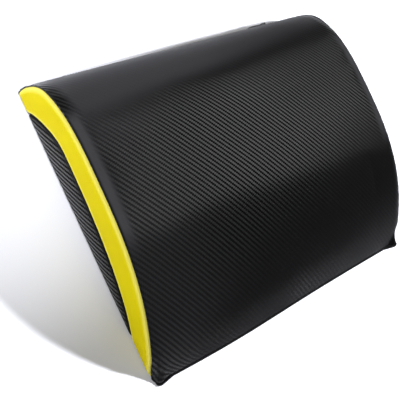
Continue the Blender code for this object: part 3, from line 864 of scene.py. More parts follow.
def twill_vinyl():
    """Black coated cloth with the raised twill, smooth and satin where it is pulled flat; the flat parts
    carry painted sheen on the shoulder and painted shade at the foot and seams.
    """
    made, tree, shader = finish("twill_vinyl", Specular_IOR_Level=0.02, Coat_Roughness=0.22)
    place = cloth_place(tree)
    twill = use_group(tree, "twill", Place=place)
    grain = use_group(tree, "coating", Place=place, Grain=BLACK_GRAIN)
    rubbed = use_group(tree, "rubbing", Place=place, Amount=0.35)["Mask"]
    # Where the ribs go flat their colour turns to the flat tone: painted shade at the foot and seams,
    # painted sheen where that share lies
    flat = attribute(tree, "pressed")
    uneven = spread(tree, grain["Tone"], 0, 1, -0.12, 0.12)
    flat = calc(tree, "MULTIPLY_ADD", uneven, flat, flat, clamp=True)
    raised = rest_of(tree, times(tree, flat, 0.88))
    # Lighter painted sheen on the flat cover
    stretched = attribute(tree, "stretched")
    # Raised bands lighter: partly the twill's pattern, partly painted sheen
    ribs = blended(tree, twill["Weft"], solid(settings().black_vinyl), solid(settings().vinyl_ribs_and_sheen))
    flat_or_sheen = blended(tree, stretched, solid(settings().flat_vinyl), solid(settings().stretched_vinyl))
    colour = blended(tree, flat, ribs, flat_or_sheen)
    colour = blended(tree, times(tree, grain["Tone"], 0.05), colour, solid((0.03, 0.03, 0.031)))
    colour = blended(tree, times(tree, rubbed, 0.5), colour, solid((0.07, 0.07, 0.07)))
    gloss = times(tree, twill["Weft"], rest_of(tree, flat))
    gloss = calc(tree, "MULTIPLY_ADD", flat, spread(tree, stretched, 0, 1, 0.10, 0.12), gloss)
    gloss = times(tree, gloss, rest_of(tree, attribute(tree, "dulled")))
    rough = spread(tree, times(tree, twill["Weft"], raised), 0, 1, 0.50, 0.38)
    rough = calc(tree, "MULTIPLY_ADD", grain["Tone"], 0.05, rough)
    rough = calc(tree, "ADD", rough, rubbed, clamp=True)
    feed(tree, shader.inputs, Base_Color=colour, Coat_Weight=gloss, Roughness=rough)
    bump(
        tree,
        shader,
        (grain["Relief"], BLACK_GRAIN_DEPTH),
        (times(tree, twill["Relief"], raised), TWILL_DEPTH),
        (times(tree, twill["Rib"], raised), settings().rib_relief),
    )
    return made


def smooth_vinyl():
    """Smooth satin yellow coated cloth with a fine grain, and a painted highlight along its sewn edges."""
    made, tree, shader = finish("smooth_vinyl", Specular_IOR_Level=0.03)
    place = cloth_place(tree)
    grain = use_group(tree, "coating", Place=place, Grain=YELLOW_GRAIN)
    rubbed = use_group(tree, "rubbing", Place=place, Amount=0.2)["Mask"]
    base = settings().yellow_vinyl
    deep = solid([base[0] * 0.93, base[1] * 0.9, base[2] * 0.8])
    colour = blended(tree, grain["Tone"], deep, solid(base))
    colour = blended(tree, rubbed, colour, solid((0.55, 0.45, 0.08)))
    # Painted highlight along the band's turned sewn edges
    colour = blended(tree, times(tree, attribute(tree, "edge"), 0.6), colour, solid((0.95, 0.87, 0.20)))
    rough = calc(tree, "ADD", spread(tree, grain["Tone"], 0, 1, 0.40, 0.47), rubbed, clamp=True)
    feed(tree, shader.inputs, Base_Color=colour, Roughness=rough)
    bump(tree, shader, (grain["Relief"], YELLOW_GRAIN_DEPTH))
    return made


def woven_cloth(name, colour, yarn, depth, roughness):
    """Matte woven cloth, in the piece's cloth coordinates, its yarn crowns painted lighter than the gaps
    between them as highlight and shade.
    """
    made, tree, shader = finish(name, Specular_IOR_Level=0.25, Sheen_Weight=0.15, Sheen_Roughness=0.5)
    place = cloth_place(tree)
    weave = use_group(tree, "plain_weave", Place=place, Yarn=yarn)
    rubbed = use_group(tree, "rubbing", Place=place, Amount=0.5)["Mask"]
    # Painted highlight on the yarn crowns and painted shade between them, broken up by a random tone
    raised = times(tree, weave["Relief"], weave["Tone"])
    mixed = blended(tree, raised, solid(colour), lighter(colour, 1.7))
    mixed = blended(tree, rubbed, mixed, solid((0.11, 0.11, 0.11)))
    rough = spread(tree, weave["Tone"], 0, 1, roughness, roughness + 0.1)
    feed(tree, shader.inputs, Base_Color=mixed, Roughness=rough)
    bump(tree, shader, (weave["Relief"], depth))
    return made


def twisted_thread():
    """Bonded sewing thread, with the plies' twist as fine slanted lines, painted lighter along their crests
    as a highlight.
    """
    made, tree, shader = finish("twisted_thread", Specular_IOR_Level=0.35)
    slanted = scaled(tree, object_place(tree), (1.0, 1.0, 1.6))
    wave = {"Vector": slanted, "Scale": 900.0, "Distortion": 1.5}
    lines = put(tree, "ShaderNodeTexWave", wave).outputs[1]
    # Painted highlight along the twist's raised lines
    colour = blended(tree, lines, solid(settings().thread), lighter(settings().thread, 2.2))
    feed(tree, shader.inputs, Base_Color=colour, Roughness=spread(tree, lines, 0, 1, 0.62, 0.48))
    bump(tree, shader, (lines, THREAD_TWIST_DEPTH))
    return made


def coil_nylon():
    """Satin black nylon of the coils."""
    made, tree, shader = finish("coil_nylon", Specular_IOR_Level=0.5)
    cloud = noise(tree, object_place(tree), 700.0, 3.0)
    colour = blended(tree, cloud, solid((0.012, 0.012, 0.013)), solid((0.03, 0.03, 0.032)))
    feed(tree, shader.inputs, Base_Color=colour, Roughness=spread(tree, cloud, 0.3, 0.7, 0.28, 0.42))
    bump(tree, shader, (cloud, NYLON_DEPTH))
    return made


def dark_metal():
    """Dark plated zinc, brushed, rubbed brighter in places."""
    made, tree, shader = finish("dark_metal", Metallic=1.0)
    place = object_place(tree)
    brushed = noise(tree, scaled(tree, place, (0.12, 1.0, 1.0)), 5200.0, 3.0)
    patches = spread(tree, noise(tree, place, 420.0, 4.0), 0.5, 0.68, 0, 0.5)
    colour = blended(tree, patches, solid(settings().zip_metal), lighter(settings().zip_metal, 2.4))
    feed(tree, shader.inputs, Base_Color=colour, Roughness=spread(tree, brushed, 0.3, 0.7, 0.26, 0.42))
    bump(tree, shader, (brushed, METAL_DEPTH))
    return made


def cell_foam():
    """Closed fine-cell foam, painted darker in its cells' hollows as shade."""
    made, tree, shader = finish("cell_foam", Roughness=0.92, Specular_IOR_Level=0.2)
    place = object_place(tree)
    cells = out(tree, "ShaderNodeTexVoronoi", {"Vector": place, "Scale": 900.0})
    slow = times(tree, noise(tree, place, 40.0, 3.0), 0.4)
    # Painted shade in the cells' hollows, lighter on their walls
    colour = blended(tree, cells, solid((0.035, 0.035, 0.037)), solid((0.085, 0.085, 0.088)))
    feed(tree, shader.inputs, Base_Color=blended(tree, slow, colour, solid((0.06, 0.06, 0.062))))
    bump(tree, shader, (cells, FOAM_CELL_DEPTH))
    return made


MAKERS = {
    "twill_vinyl": twill_vinyl,
    "smooth_vinyl": smooth_vinyl,
    "base_weave": lambda: woven_cloth(
        "base_weave", settings().base_cloth, BASE_YARN, BASE_YARN_DEPTH, 0.78
    ),
    "tape_weave": lambda: woven_cloth("tape_weave", settings().thread, TAPE_YARN, TAPE_YARN_DEPTH, 0.72),
    "twisted_thread": twisted_thread,
    "coil_nylon": coil_nylon,
    "dark_metal": dark_metal,
    "cell_foam": cell_foam,
}
GROUPS = {
    "twill": twill_group,
    "coating": grain_group,
    "rubbing": scuff_group,
    "plain_weave": weave_group,
}


def material(name):
    """The named finish, built once."""
    found = bpy.data.materials.get(name)
    if found is None:
        for label, maker in GROUPS.items():
            if label not in bpy.data.node_groups:
                maker()
        found = MAKERS[name]()
    return found


def surface(thing, finish_name):
    """Shade a piece smooth between its sharp edges and give it its finish."""
    thing.data.shade_smooth()
    thing.data.set_sharp_from_angle(angle=SHARP_ANGLE)
    thing.data.materials.clear()
    thing.data.materials.append(material(finish_name))


# Repeats made by Geometry Nodes


def end_tree(tree, made, geometry, finish_input):
    """End a geometry tree with real copies, shaded smooth, in their material."""
    real = out(tree, "GeometryNodeRealizeInstances", (geometry,))
    shaded = out(tree, "GeometryNodeSetShadeSmooth", {"Geometry": real})
    final = out(tree, "GeometryNodeSetMaterial", {"Geometry": shaded, "Material": finish_input})
    feed(tree, made, Geometry=final)
    return tree


def stitch_tree():
    """A stitch at every pitch along a line."""
    tree, given, made = group(
        "stitches",
        "GeometryNodeTree",
        [
            ("Geometry", GEOMETRY),
            ("Pitch", FLOAT, STITCH_PITCH),
            ("Length", FLOAT, STITCH_LENGTH),
            ("Thickness", FLOAT, THREAD),
            ("Thread", MATERIAL),
        ],
        [("Geometry", GEOMETRY)],
    )
    line = out(tree, "GeometryNodeMeshToCurve", (given["Geometry"],))
    spacing = {"Curve": line, "Length": given["Pitch"]}
    spaced = put(tree, "GeometryNodeCurveToPoints", spacing, mode="LENGTH").outputs
    turned = out(tree, "FunctionNodeAlignRotationToVector", {"Vector": spaced["Tangent"]}, axis="X")
    round_ball = {"Segments": STITCH_SIDES, "Rings": STITCH_RINGS, "Radius": 0.5}
    ball = out(tree, "GeometryNodeMeshUVSphere", round_ball)
    thick = given["Thickness"]
    size = out(tree, "ShaderNodeCombineXYZ", (given["Length"], thick, thick))
    stitch = out(tree, "GeometryNodeTransform", {"Geometry": ball, "Scale": size})
    copying = {"Points": spaced["Points"], "Instance": stitch, "Rotation": turned}
    return end_tree(tree, made, out(tree, "GeometryNodeInstanceOnPoints", copying), given["Thread"])


def coil_tree():
    """One continuous flattened coil along X."""
    tree, given, made = group(
        "coil",
        "GeometryNodeTree",
        [
            ("Geometry", GEOMETRY),
            ("Turns", "NodeSocketInt", 10),
            ("Pitch", FLOAT, COIL_PITCH),
            ("Start", FLOAT, 0.0),
            ("Near Edge", FLOAT, 0.0),
            ("Far Edge", FLOAT, ROW_REACH),
            ("Middle Out", FLOAT, 0.0),
            ("Thickness", FLOAT, ROW_THICK),
            ("Wire", FLOAT, COIL_WIRE),
            ("Nylon", MATERIAL),
        ],
        [("Geometry", GEOMETRY)],
    )
    near = given["Near Edge"]
    far = given["Far Edge"]
    wire = given["Wire"]
    total = times(tree, given["Turns"], float(COIL_STEPS))
    line = out(tree, "GeometryNodeMeshLine", {"Count": total})
    turn = calc(tree, "DIVIDE", out(tree, "GeometryNodeInputIndex"), float(COIL_STEPS))
    angle = times(tree, turn, 2 * math.pi)
    along = calc(tree, "MULTIPLY_ADD", turn, given["Pitch"], given["Start"])
    half_wide = times(tree, calc(tree, "SUBTRACT", far, near), 0.5)
    middle = times(tree, calc(tree, "ADD", far, near), 0.5)
    up = calc(tree, "MULTIPLY_ADD", calc(tree, "COSINE", angle), half_wide, middle)
    half_thick = times(tree, calc(tree, "SUBTRACT", given["Thickness"], wire), 0.5)
    aside = calc(tree, "MULTIPLY_ADD", calc(tree, "SINE", angle), half_thick, given["Middle Out"])
    place = out(tree, "ShaderNodeCombineXYZ", (along, aside, up))
    wound = out(tree, "GeometryNodeSetPosition", {"Geometry": line, "Position": place})
    path = out(tree, "GeometryNodeMeshToCurve", (wound,))
    circle = {"Resolution": WIRE_SIDES, "Radius": times(tree, wire, 0.5)}
    ring = out(tree, "GeometryNodeCurvePrimitiveCircle", circle)
    drawn = {"Curve": path, "Profile Curve": ring, "Fill Caps": True}
    return end_tree(tree, made, out(tree, "GeometryNodeCurveToMesh", drawn), given["Nylon"])


TREES = {"stitches": stitch_tree, "coil": coil_tree}


def grown(name, points, tree_name, **values):
    """A piece that a Geometry Nodes tree makes from a line of points, as a plain mesh."""
    data = bpy.data.meshes.new(name)
    edges = [(index, index + 1) for index in range(len(points) - 1)]
    data.from_pydata([tuple(point) for point in points], edges, [])
    thing = new_object(name, data)
    tree = bpy.data.node_groups.get(tree_name) or TREES[tree_name]()
    grow = thing.modifiers.new(tree_name, "NODES")
    grow.node_group = tree
    for item in tree.interface.items_tree:
        key = item.name.lower().replace(" ", "_")
        if item.in_out == "INPUT" and key in values:
            grow[item.identifier] = values[key]
    settle(thing)
    return thing


def stitched(name, points, body, *nodes, **sizes):
    """Stitches along a line, of the usual size unless sizes say another."""
    piece = grown(name, points, "stitches", thread=material("twisted_thread"), **sizes)
    keep_above_floor(piece)
    dress(piece, body, "thread", *nodes)


# Pieces of the cover


def zip_matrix():
    """Place on the back wall at the zip's middle: X along it, Y out of the wall, Z up the wall."""
    outward = DOME.read(DOME.normals, ZIP_CENTRE)
    middle = DOME.inside(ZIP_CENTRE, 0)
    turn = Matrix.Rotation(math.atan2(outward[1], outward[0]), 4, "X")
    return Matrix.Translation((0, middle[0], middle[1])) @ turn


def wall_places(x, up, depth):
    """Points of the back wall, up the wall from the zip's middle line."""
    x, up, depth = np.broadcast_arrays(x, up, depth)
    return np.concatenate([x[..., None], DOME.inside(ZIP_CENTRE - up, depth)], axis=-1)


def cloth_places(first, second):
    return np.stack(np.broadcast_arrays(first, second), axis=-1)


def clear_of(values, kept, distance):
    """The kept values, with the others that lie further than a distance from all of them."""
    far = np.abs(kept[:, None] - values).min(axis=0) > distance
    return np.union1d(values[far], kept)


def section_rows(first, last):
    """Distances along the dome, with a denser set beside the zip's slot and at both feet."""
    base = crowded(first, last)
    fine = SLOT_SHARES * SLOT_TURN
    slot = np.concatenate([ZIP_CENTRE - SLOT_EDGE - fine, ZIP_CENTRE + SLOT_EDGE + fine])
    in_slot = base[np.abs(base - ZIP_CENTRE) < SLOT_EDGE]
    return np.union1d(clear_of(base, slot, SLOT_TURN / 3), in_slot)


def cover_columns():
    """Distances of the cover's columns from its left side, and how deep each lies in the rolled edges."""
    edge = edge_section()
    inner = ROLL_WIDTH + (WIDTH - 2 * ROLL_WIDTH) * np.arange(1, MIDDLE_STEPS) / MIDDLE_STEPS
    beside = ROLL_WIDTH + COLUMN_STEP * np.arange(1, 4)
    fine = SLOT_HALF_LENGTH + SLOT_SHARES * SLOT_TURN
    slot = np.concatenate([HALF_WIDTH - fine, HALF_WIDTH + fine])
    inner = clear_of(np.concatenate([beside, inner, WIDTH - beside]), slot, SLOT_TURN)
    stations = np.concatenate([edge[:, 0], inner, WIDTH - edge[::-1, 0]])
    return stations, np.concatenate([edge[:, 1], np.zeros(len(inner)), edge[::-1, 1]])


def top_cover():
    """Black cover over the dome: rolled and sewn-in sides, and a turned-in slot for the zip."""
    stations, depths = cover_columns()
    tighter = 1 + RIGHT_TIGHTER * ramp(stations - HALF_WIDTH, 0, HALF_WIDTH)
    steps = np.hypot(np.diff(stations), np.diff(depths)) * (tighter[1:] + tighter[:-1]) / 2
    arc = np.concatenate([[0], np.cumsum(steps)])
    arc -= arc[-1] / 2
    lowest, highest = DOME.span(0, PANEL_FOOT)
    rows = section_rows(lowest, highest)
    share = (rows - lowest) / (highest - lowest)
    up = np.abs(rows - ZIP_CENTRE)
    places = np.zeros((len(rows), len(stations), 3))
    cloth = np.zeros((len(rows), len(stations), 2))
    # Shares for the finish: flat ribs in a painted darker tone, painted sheen, and cut gloss
    shares = {name: np.zeros((len(rows), len(stations))) for name in ("pressed", "stretched", "dulled")}
    for column, (station, inset) in enumerate(zip(stations, depths)):
        side = min(station, WIDTH - station)
        x = station - HALF_WIDTH
        first, last = DOME.span(inset, PANEL_FOOT)
        distance = np.where(up < 3 * SLOT_EDGE, rows, first + (last - first) * share)
        from_foot = np.minimum(distance - first, last - distance)
        turned = TURN_DEPTH * np.clip(1 - from_foot / TURN_WIDTH, 0, 1) ** 3
        turned -= FOOT_RIDGE * np.exp(-(((distance - first - FOOT_RIDGE_UP) / FOOT_RIDGE_WIDTH) ** 2))
        sewn = pucker(distance, side - EDGE_FROM_SIDE, 0.0 if x < 0 else 1.3)
        sewn = sewn * np.clip(from_foot / ROLL_WIDTH, 0, 1)
        beside = np.maximum(np.clip(up - SLOT_EDGE, 0, None), max(abs(x) - SLOT_HALF_LENGTH, 0))
        folded = SHEET * 0.8 * np.clip(1 - beside / SLOT_TURN, 0, 1) ** 3
        wrapped = (sewn_depth(distance, inset) - inset) * ramp(side, WRAP_ACROSS, CURL_START)
        point = DOME.inside(distance, inset + turned + sewn + folded + wrapped)
        point[:, 1] = above_foot(point[:, 1])
        narrow = 1 - drawn_in(point[:, 0]) / HALF_WIDTH
        places[:, column] = settled(np.column_stack([x * narrow, point]))
        along = distance * tighter[column] - DOME.marks[-1] / 2 * (tighter[column] - 1)
        cloth[:, column] = cloth_places(along, arc[column])
        for table, value in zip(shares.values(), pulled_flat(distance, x, side)):
            table[:, column] = value
    row_middle = (rows[1:] + rows[:-1]) / 2 - ZIP_CENTRE
    column_middle = (stations[1:] + stations[:-1]) / 2 - HALF_WIDTH
    hole = (np.abs(row_middle) < SLOT_EDGE)[:, None] & (np.abs(column_middle) < SLOT_HALF_LENGTH)
    cover = grid_object("dome_cover", places, cloth, (0, 0, 1), hole, **shares)
    reshape(cover.data, drop_loose)
    press_out(cover, held_points(cover), settings().foam_pressure, settings().foam_swell)
    thicken(cover)
    keep_above_floor(cover)
    surface(cover, "twill_vinyl")
    dress(cover, "mat", "black_vinyl", "top_cover", fill=0.95)


def slot_hem():
    """The cover's edge, folded under all round the zip's slot."""
    end = SLOT_HALF_LENGTH
    upper = np.linspace(SLOT_EDGE, SLOT_EDGE + HEM_WIDTH, 4)
    ups = np.concatenate([-upper[::-1], upper])[:, None]
    xs = np.array([-end - HEM_WIDTH, -end, end, end + HEM_WIDTH])
    hole = (np.abs(ups[1:] + ups[:-1]) < SLOT_EDGE) & (np.abs(xs[1:] + xs[:-1]) < end)
    places = wall_places(xs, ups, SHEET * 1.05)
    hem = grid_object("slot_hem", places, cloth_places(-ups, xs), (0, 1, 0.2), hole)
    thicken(hem)
    round_edges(hem, SHEET * 0.3, 2)
    surface(hem, "twill_vinyl")
    dress(hem, "mat", "black_vinyl")


def drop_loose(bm):
    """Drop points that no face uses."""
    alone = [vert for vert in bm.verts if not vert.link_faces]
    bmesh.ops.delete(bm, geom=alone, context="VERTS")


def held_points(thing):
    """Points that the sewing holds: all within the roll's curl or a few steps of a free edge."""
    bm = bmesh.new()
    bm.from_mesh(thing.data)
    held = {vert for vert in bm.verts if vert.is_boundary}
    for _ in range(CURL_STEPS):
        held |= {edge.other_vert(vert) for vert in held for edge in vert.link_edges}
    found = sorted(vert.index for vert in held)
    bm.free()
    return found


def side_sheet(name, upper, lower, lower_sewn, side, finish_name, replaced):
    """A sheet between two lines in a side face, turned in where it is sewn and crowned between."""
    width = np.linalg.norm(lower - upper, axis=1)
    fine = TURN_WIDTH * (np.arange(CURL_STEPS + 1) / CURL_STEPS) ** 1.5
    places = []
    cloth = []
    shares = {"pressed": [], "edge": []}
    for row in range(len(upper)):
        reach = min(TURN_WIDTH, width[row] / 3)
        near = fine * reach / TURN_WIDTH
        middle = np.linspace(reach, width[row] - reach, CROSS_STEPS + 1)[1:-1]
        across = np.concatenate([near, middle, (width[row] - near)[::-1]])
        from_edge = np.minimum(across, width[row] - across)
        point = upper[row] + (lower[row] - upper[row]) * (across / width[row])[:, None]
        from_foot = point[:, 1] - SIDE_FOOT
        from_seam = from_edge if lower_sewn else across
        turned = TURN_DEPTH * np.clip(1 - from_seam / TURN_WIDTH, 0, 1) ** 3
        turned += FOOT_TURN_DEPTH * np.clip(1 - from_foot / FOOT_TURN_WIDTH, 0, 1) ** 2
        from_seam = np.minimum(from_seam, from_foot)
        swell = BAND_CROWN * np.sin(np.pi / 2 * np.clip(from_seam / ROLL_WIDTH, 0, 1))
        dents = pucker(point[:, 0], from_seam, 0.7) * 0.6 * min(width[row] / ROLL_WIDTH, 1)
        x = side * (HALF_WIDTH - turned + swell - dents - drawn_in(point[:, 0]))
        places.append(settled(np.column_stack([x, point])))
        cloth.append(cloth_places(-side * point[:, 0], point[:, 1]))
        # Ribs flat and darker beside the panel's seams: painted shade; a painted highlight along the band's
        # sewn edges
        shares["pressed"].append(ramp(from_seam, *PANEL_SEAM_SPAN))
        shares["edge"].append(ramp(from_edge, *BAND_HIGHLIGHT_SPAN))
    sheet = grid_object(name, np.array(places), np.array(cloth), (side, 0, 0), **shares)
    thicken(sheet)
    keep_above_floor(sheet)
    surface(sheet, finish_name)
    slot_name = "yellow_vinyl" if finish_name == "smooth_vinyl" else "black_vinyl"
    dress(sheet, "mat", slot_name, replaced, fill=0.9)


def lines_between(profile, depth, foot=SIDE_FOOT):
    """A line in a side face at a depth under a profile, from foot to foot."""
    if profile is not DOME:
        return profile.inside(profile.eased(depth, foot), depth)
    distance = profile.eased(sewn_depth(profile.marks, depth), foot)
    return profile.inside(distance, sewn_depth(distance, depth))


def base_outline(inset, height):
    """Plan of the base cover's edge, moved in by inset, at one height of its rim."""
    front = DOME.inside(DOME.span(0, height)[0], 0)[0] + inset / math.sin(FRONT_RISE)
    middle = np.linspace(0, HALF_WIDTH - ROLL_WIDTH, MIDDLE_STEPS // 2 + 1)
    right = [(x, BACK_Y - inset) for x in middle]
    for station in np.linspace(ROLL_WIDTH, BACK_CORNER + 2 * SHEET, ROLL_STEPS)[1:]:
        right.append((HALF_WIDTH - station, BACK_Y - inset - float(roll(station)) * (1 - BACK_SHARP)))
    centre = (HALF_WIDTH - inset - BACK_CORNER, right[-1][1] - BACK_CORNER)
    for turn in np.linspace(math.pi / 2, 0, CORNER_STEPS + 1):
        right.append((centre[0] + BACK_CORNER * math.cos(turn), centre[1] + BACK_CORNER * math.sin(turn)))
    start = FRONT_Y + FRONT_CORNER
    along = np.linspace(0, 1, 2 * MIDDLE_STEPS + 1)[1:-1]
    for y in centre[1] + (start - centre[1]) * along**2 * (2 - along):
        right.append((HALF_WIDTH - inset, y))
    corner = start + (front - start) * np.sin(np.linspace(0, math.pi / 2, 4 * CORNER_STEPS + 1))
    right += list(zip(HALF_WIDTH - inset - drawn_in(corner, inset), corner))
    right += [(x, front) for x in np.linspace(HALF_WIDTH - FRONT_CORNER, 0, MIDDLE_STEPS // 2 + 1)[1:]]
    right = np.array(right)
    tuck = SIDE_TUCK * ramp(right[:, 1], centre[1], centre[1] - TUCK_EASE)
    right[:, 0] -= tuck * ramp(right[:, 0], HALF_WIDTH - FRONT_CORNER, HALF_WIDTH - TUCK_EASE)
    left = right[-2:0:-1] * (-1, 1)
    return np.vstack([right, left])


def join_rings(bm, lower, upper):
    """A band of faces between two closed rings of points."""
    for index in range(len(lower)):
        after = (index + 1) % len(lower)
        bm.faces.new((lower[index], lower[after], upper[after], upper[index]))


def base_cover():
    """Underside cloth with a turned-up rim, rolled at its foot and pinched at the front corners."""
    levels = [
        (RIM_ROUND * 1.6, 0.0),
        (RIM_ROUND, RIM_LIFT),
        (RIM_ROUND * 0.5, RIM_ROUND * 0.3),
        (RIM_ROUND * 0.12, RIM_ROUND * 0.75),
        (0.0, RIM_ROUND * 1.3),
        (0.0, RIM_HEIGHT * 0.8),
        (RIM_ROUND * 0.3, RIM_HEIGHT),
        (SHEET, RIM_HEIGHT),
        (SHEET + MERGE, SHEET),
    ]
    bm = bmesh.new()
    rings = []
    for inset, height in levels:
        outline = base_outline(inset, height)
        places = settled(np.column_stack([outline, np.full(len(outline), height)]))
        rings.append([bm.verts.new(place) for place in places])
    for lower, upper in zip(rings, rings[1:]):
        join_rings(bm, lower, upper)
    for ring in (rings[0], rings[-1]):
        middle = bm.verts.new((0, 0, ring[0].co.z))
        for index in range(len(ring)):
            bm.faces.new((middle, ring[index], ring[(index + 1) % len(ring)]))
    face_out(bm)
    if bm.calc_volume(signed=True) < 0:
        bmesh.ops.reverse_faces(bm, faces=bm.faces)
    layer = bm.loops.layers.uv.new("cloth")
    for face in bm.faces:
        for loop in face.loops:
            x, y, z = loop.vert.co
            loop[layer].uv = (x, y + z) if abs(face.normal.y) > abs(face.normal.x) else (x + z, y)
    base = new_mesh("base_sheet", bm)
    surface(base, "base_weave")
    dress(base, "mat", "base_cloth", "base_cover")


def refined_copy(name, node, rounding, finish_name, segments=2):
    """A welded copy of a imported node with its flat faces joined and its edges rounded."""

    def weld(bm):
        merge(bm)
        bmesh.ops.dissolve_limit(bm, angle_limit=FACE_ANGLE, verts=bm.verts, edges=bm.edges)

    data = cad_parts[node].data.copy()
    data.name = name
    reshape(data, weld)
    copy = new_object(name, data)
    round_edges(copy, rounding, segments)
    surface(copy, finish_name)
    return copy


def in_place(thing, matrix):
    """Put a piece built at the origin where it belongs, in its mesh."""
    thing.data.transform(matrix)
    thing.data.update()


def slider_matrix():
    low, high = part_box("zip_slider")
    return zip_matrix() @ Matrix.Translation(((low.x + high.x) / 2, 0, 0))


def plate_outline(tall, waist, half):
    """A slider plate's outline, wide where the rows part and narrow where they leave joined."""
    head = (half * 0.55, tall)
    tail = (-half * 0.7, waist)
    right = cubic((half, 0), (half, tall * 0.55), (half * 0.95, tall), head, CORNER_STEPS)
    side = cubic(head, (0, tall), (-half * 0.3, waist), tail, CORNER_STEPS)
    left = cubic(tail, (-half * 0.95, waist), (-half, waist * 0.7), (-half, 0), CORNER_STEPS)
    upper = np.vstack([right, side[1:], left[1:]])
    return np.vstack([upper, upper[-2:0:-1] * (1, -1)])


def slab(name, outline, low, high):
    """A flat plate of an X-Z outline, from low to high along Y."""
    bm = bmesh.new()
    lower = [bm.verts.new((x, low, z)) for x, z in outline]
    upper = [bm.verts.new((x, high, z)) for x, z in outline]
    join_rings(bm, lower, upper)
    bm.faces.new(lower)
    bm.faces.new(upper)
    face_out(bm)
    return new_mesh(name, bm)


def rounded_rectangle(low, high, radius, steps):
    """Outline of a rectangle between two corners, with round corners."""
    points = []
    for centre_x, centre_z, start in (
        (high[0] - radius, high[1] - radius, 0.0),
        (low[0] + radius, high[1] - radius, math.pi / 2),
        (low[0] + radius, low[1] + radius, math.pi),
        (high[0] - radius, low[1] + radius, 1.5 * math.pi),
    ):
        for turn in np.linspace(start, start + math.pi / 2, steps + 1):
            points.append((centre_x + radius * math.cos(turn), centre_z + radius * math.sin(turn)))
    return points


def unite(main, others):
    """Join solids into one skin."""
    for other in others:
        joining = main.modifiers.new(other.name, "BOOLEAN")
        joining.operation = "UNION"
        joining.solver = "EXACT"
        joining.object = other
    settle(main)
    for other in others:
        bpy.data.objects.remove(other, do_unlink=True)


def tube(name, points, radius, sides=3):
    """A closed round wire through points."""
    data = bpy.data.curves.new(name, "CURVE")
    data.dimensions = "3D"
    data.bevel_depth = radius
    data.bevel_resolution = sides
    data.use_fill_caps = True
    spline = data.splines.new("POLY")
    spline.points.add(len(points) - 1)
    for item, point in zip(spline.points, points):
        item.co = (*point, 1)
    thing = new_object(name, data)
    mesh = evaluated_mesh(thing)
    bpy.data.objects.remove(thing, do_unlink=True)
    reshape(mesh, merge)
    return new_object(name, mesh)


# Operators


class Piece:
    """What every operator here shares."""

    bl_options = {"REGISTER", "UNDO"}


class ABMAT_OT_foam(Piece, bpy.types.Operator):
    """Add the foam block inside the cover"""

    bl_idname = "abmat.foam"
    bl_label = "Foam block"

    def execute(self, context):
        foam = refined_copy("foam_block", "foam_core", FOAM_ROUND, "cell_foam")
        dress(foam, "mat", "foam", "foam_core", fill=1.0)
        return {"FINISHED"}


class ABMAT_OT_top_cover(Piece, bpy.types.Operator):
    """Add the black cover over the dome, pressed out by the foam"""

    bl_idname = "abmat.top_cover"
    bl_label = "Top cover"

    def execute(self, context):
        top_cover()
        slot_hem()
        return {"FINISHED"}


class ABMAT_OT_side_bands(Piece, bpy.types.Operator):
    """Add the coloured band and the black panel of each side face"""

    bl_idname = "abmat.side_bands"
    bl_label = "Side bands and panels"

    def execute(self, context):
        outer = lines_between(DOME, BAND_DEPTH)
        inner = lines_between(PANEL, -SEAM_WIDTH)
        crescent = lines_between(PANEL, 0, SIDE_FOOT + SHEET / 4)
        floor = np.column_stack([crescent[:, 0], np.full(len(crescent), SIDE_FOOT)])
        for side, word in SIDES:
            side_sheet(
                "yellow_band_" + word, outer, inner, True, side, "smooth_vinyl", "accent_band_" + word
            )
            side_sheet(
                "side_crescent_" + word, crescent, floor, False, side, "twill_vinyl", "side_panel_" + word
            )
        return {"FINISHED"}


class ABMAT_OT_base_cover(Piece, bpy.types.Operator):
    """Add the underside cloth with its rim and pinched front corners"""

    bl_idname = "abmat.base_cover"
    bl_label = "Base cover"

    def execute(self, context):
        base_cover()
        return {"FINISHED"}


class ABMAT_OT_seams(Piece, bpy.types.Operator):
    """Add the stitches of all the cover's seams"""

    bl_idname = "abmat.seams"
    bl_label = "Seam stitches"

    def execute(self, context):
        foot = SIDE_FOOT + THREAD / 2
        upper = lines_between(DOME, SEAM_DEPTH, foot)
        lower = lines_between(PANEL, -SEAM_WIDTH / 2, foot)
        for side, word in SIDES:
            for level, line in (("upper", upper), ("lower", lower)):
                x = side * (HALF_WIDTH - 1.9 * THREAD - drawn_in(line[:, 0]))
                points = settled(np.column_stack([x, line]))
                name = level + "_seam_" + word
                stitched(level + "_stitches_" + word, points, "mat", name, length=SEAM_STITCH)
        height = RIM_HEIGHT + RIM_SEAM / 2
        around = base_outline(THREAD / 2, height)
        around = np.vstack([around, around[:1]])
        points = settled(np.column_stack([around, np.full(len(around), height)]))
        stitched("base_stitches", points, "mat", "base_seam")
        return {"FINISHED"}


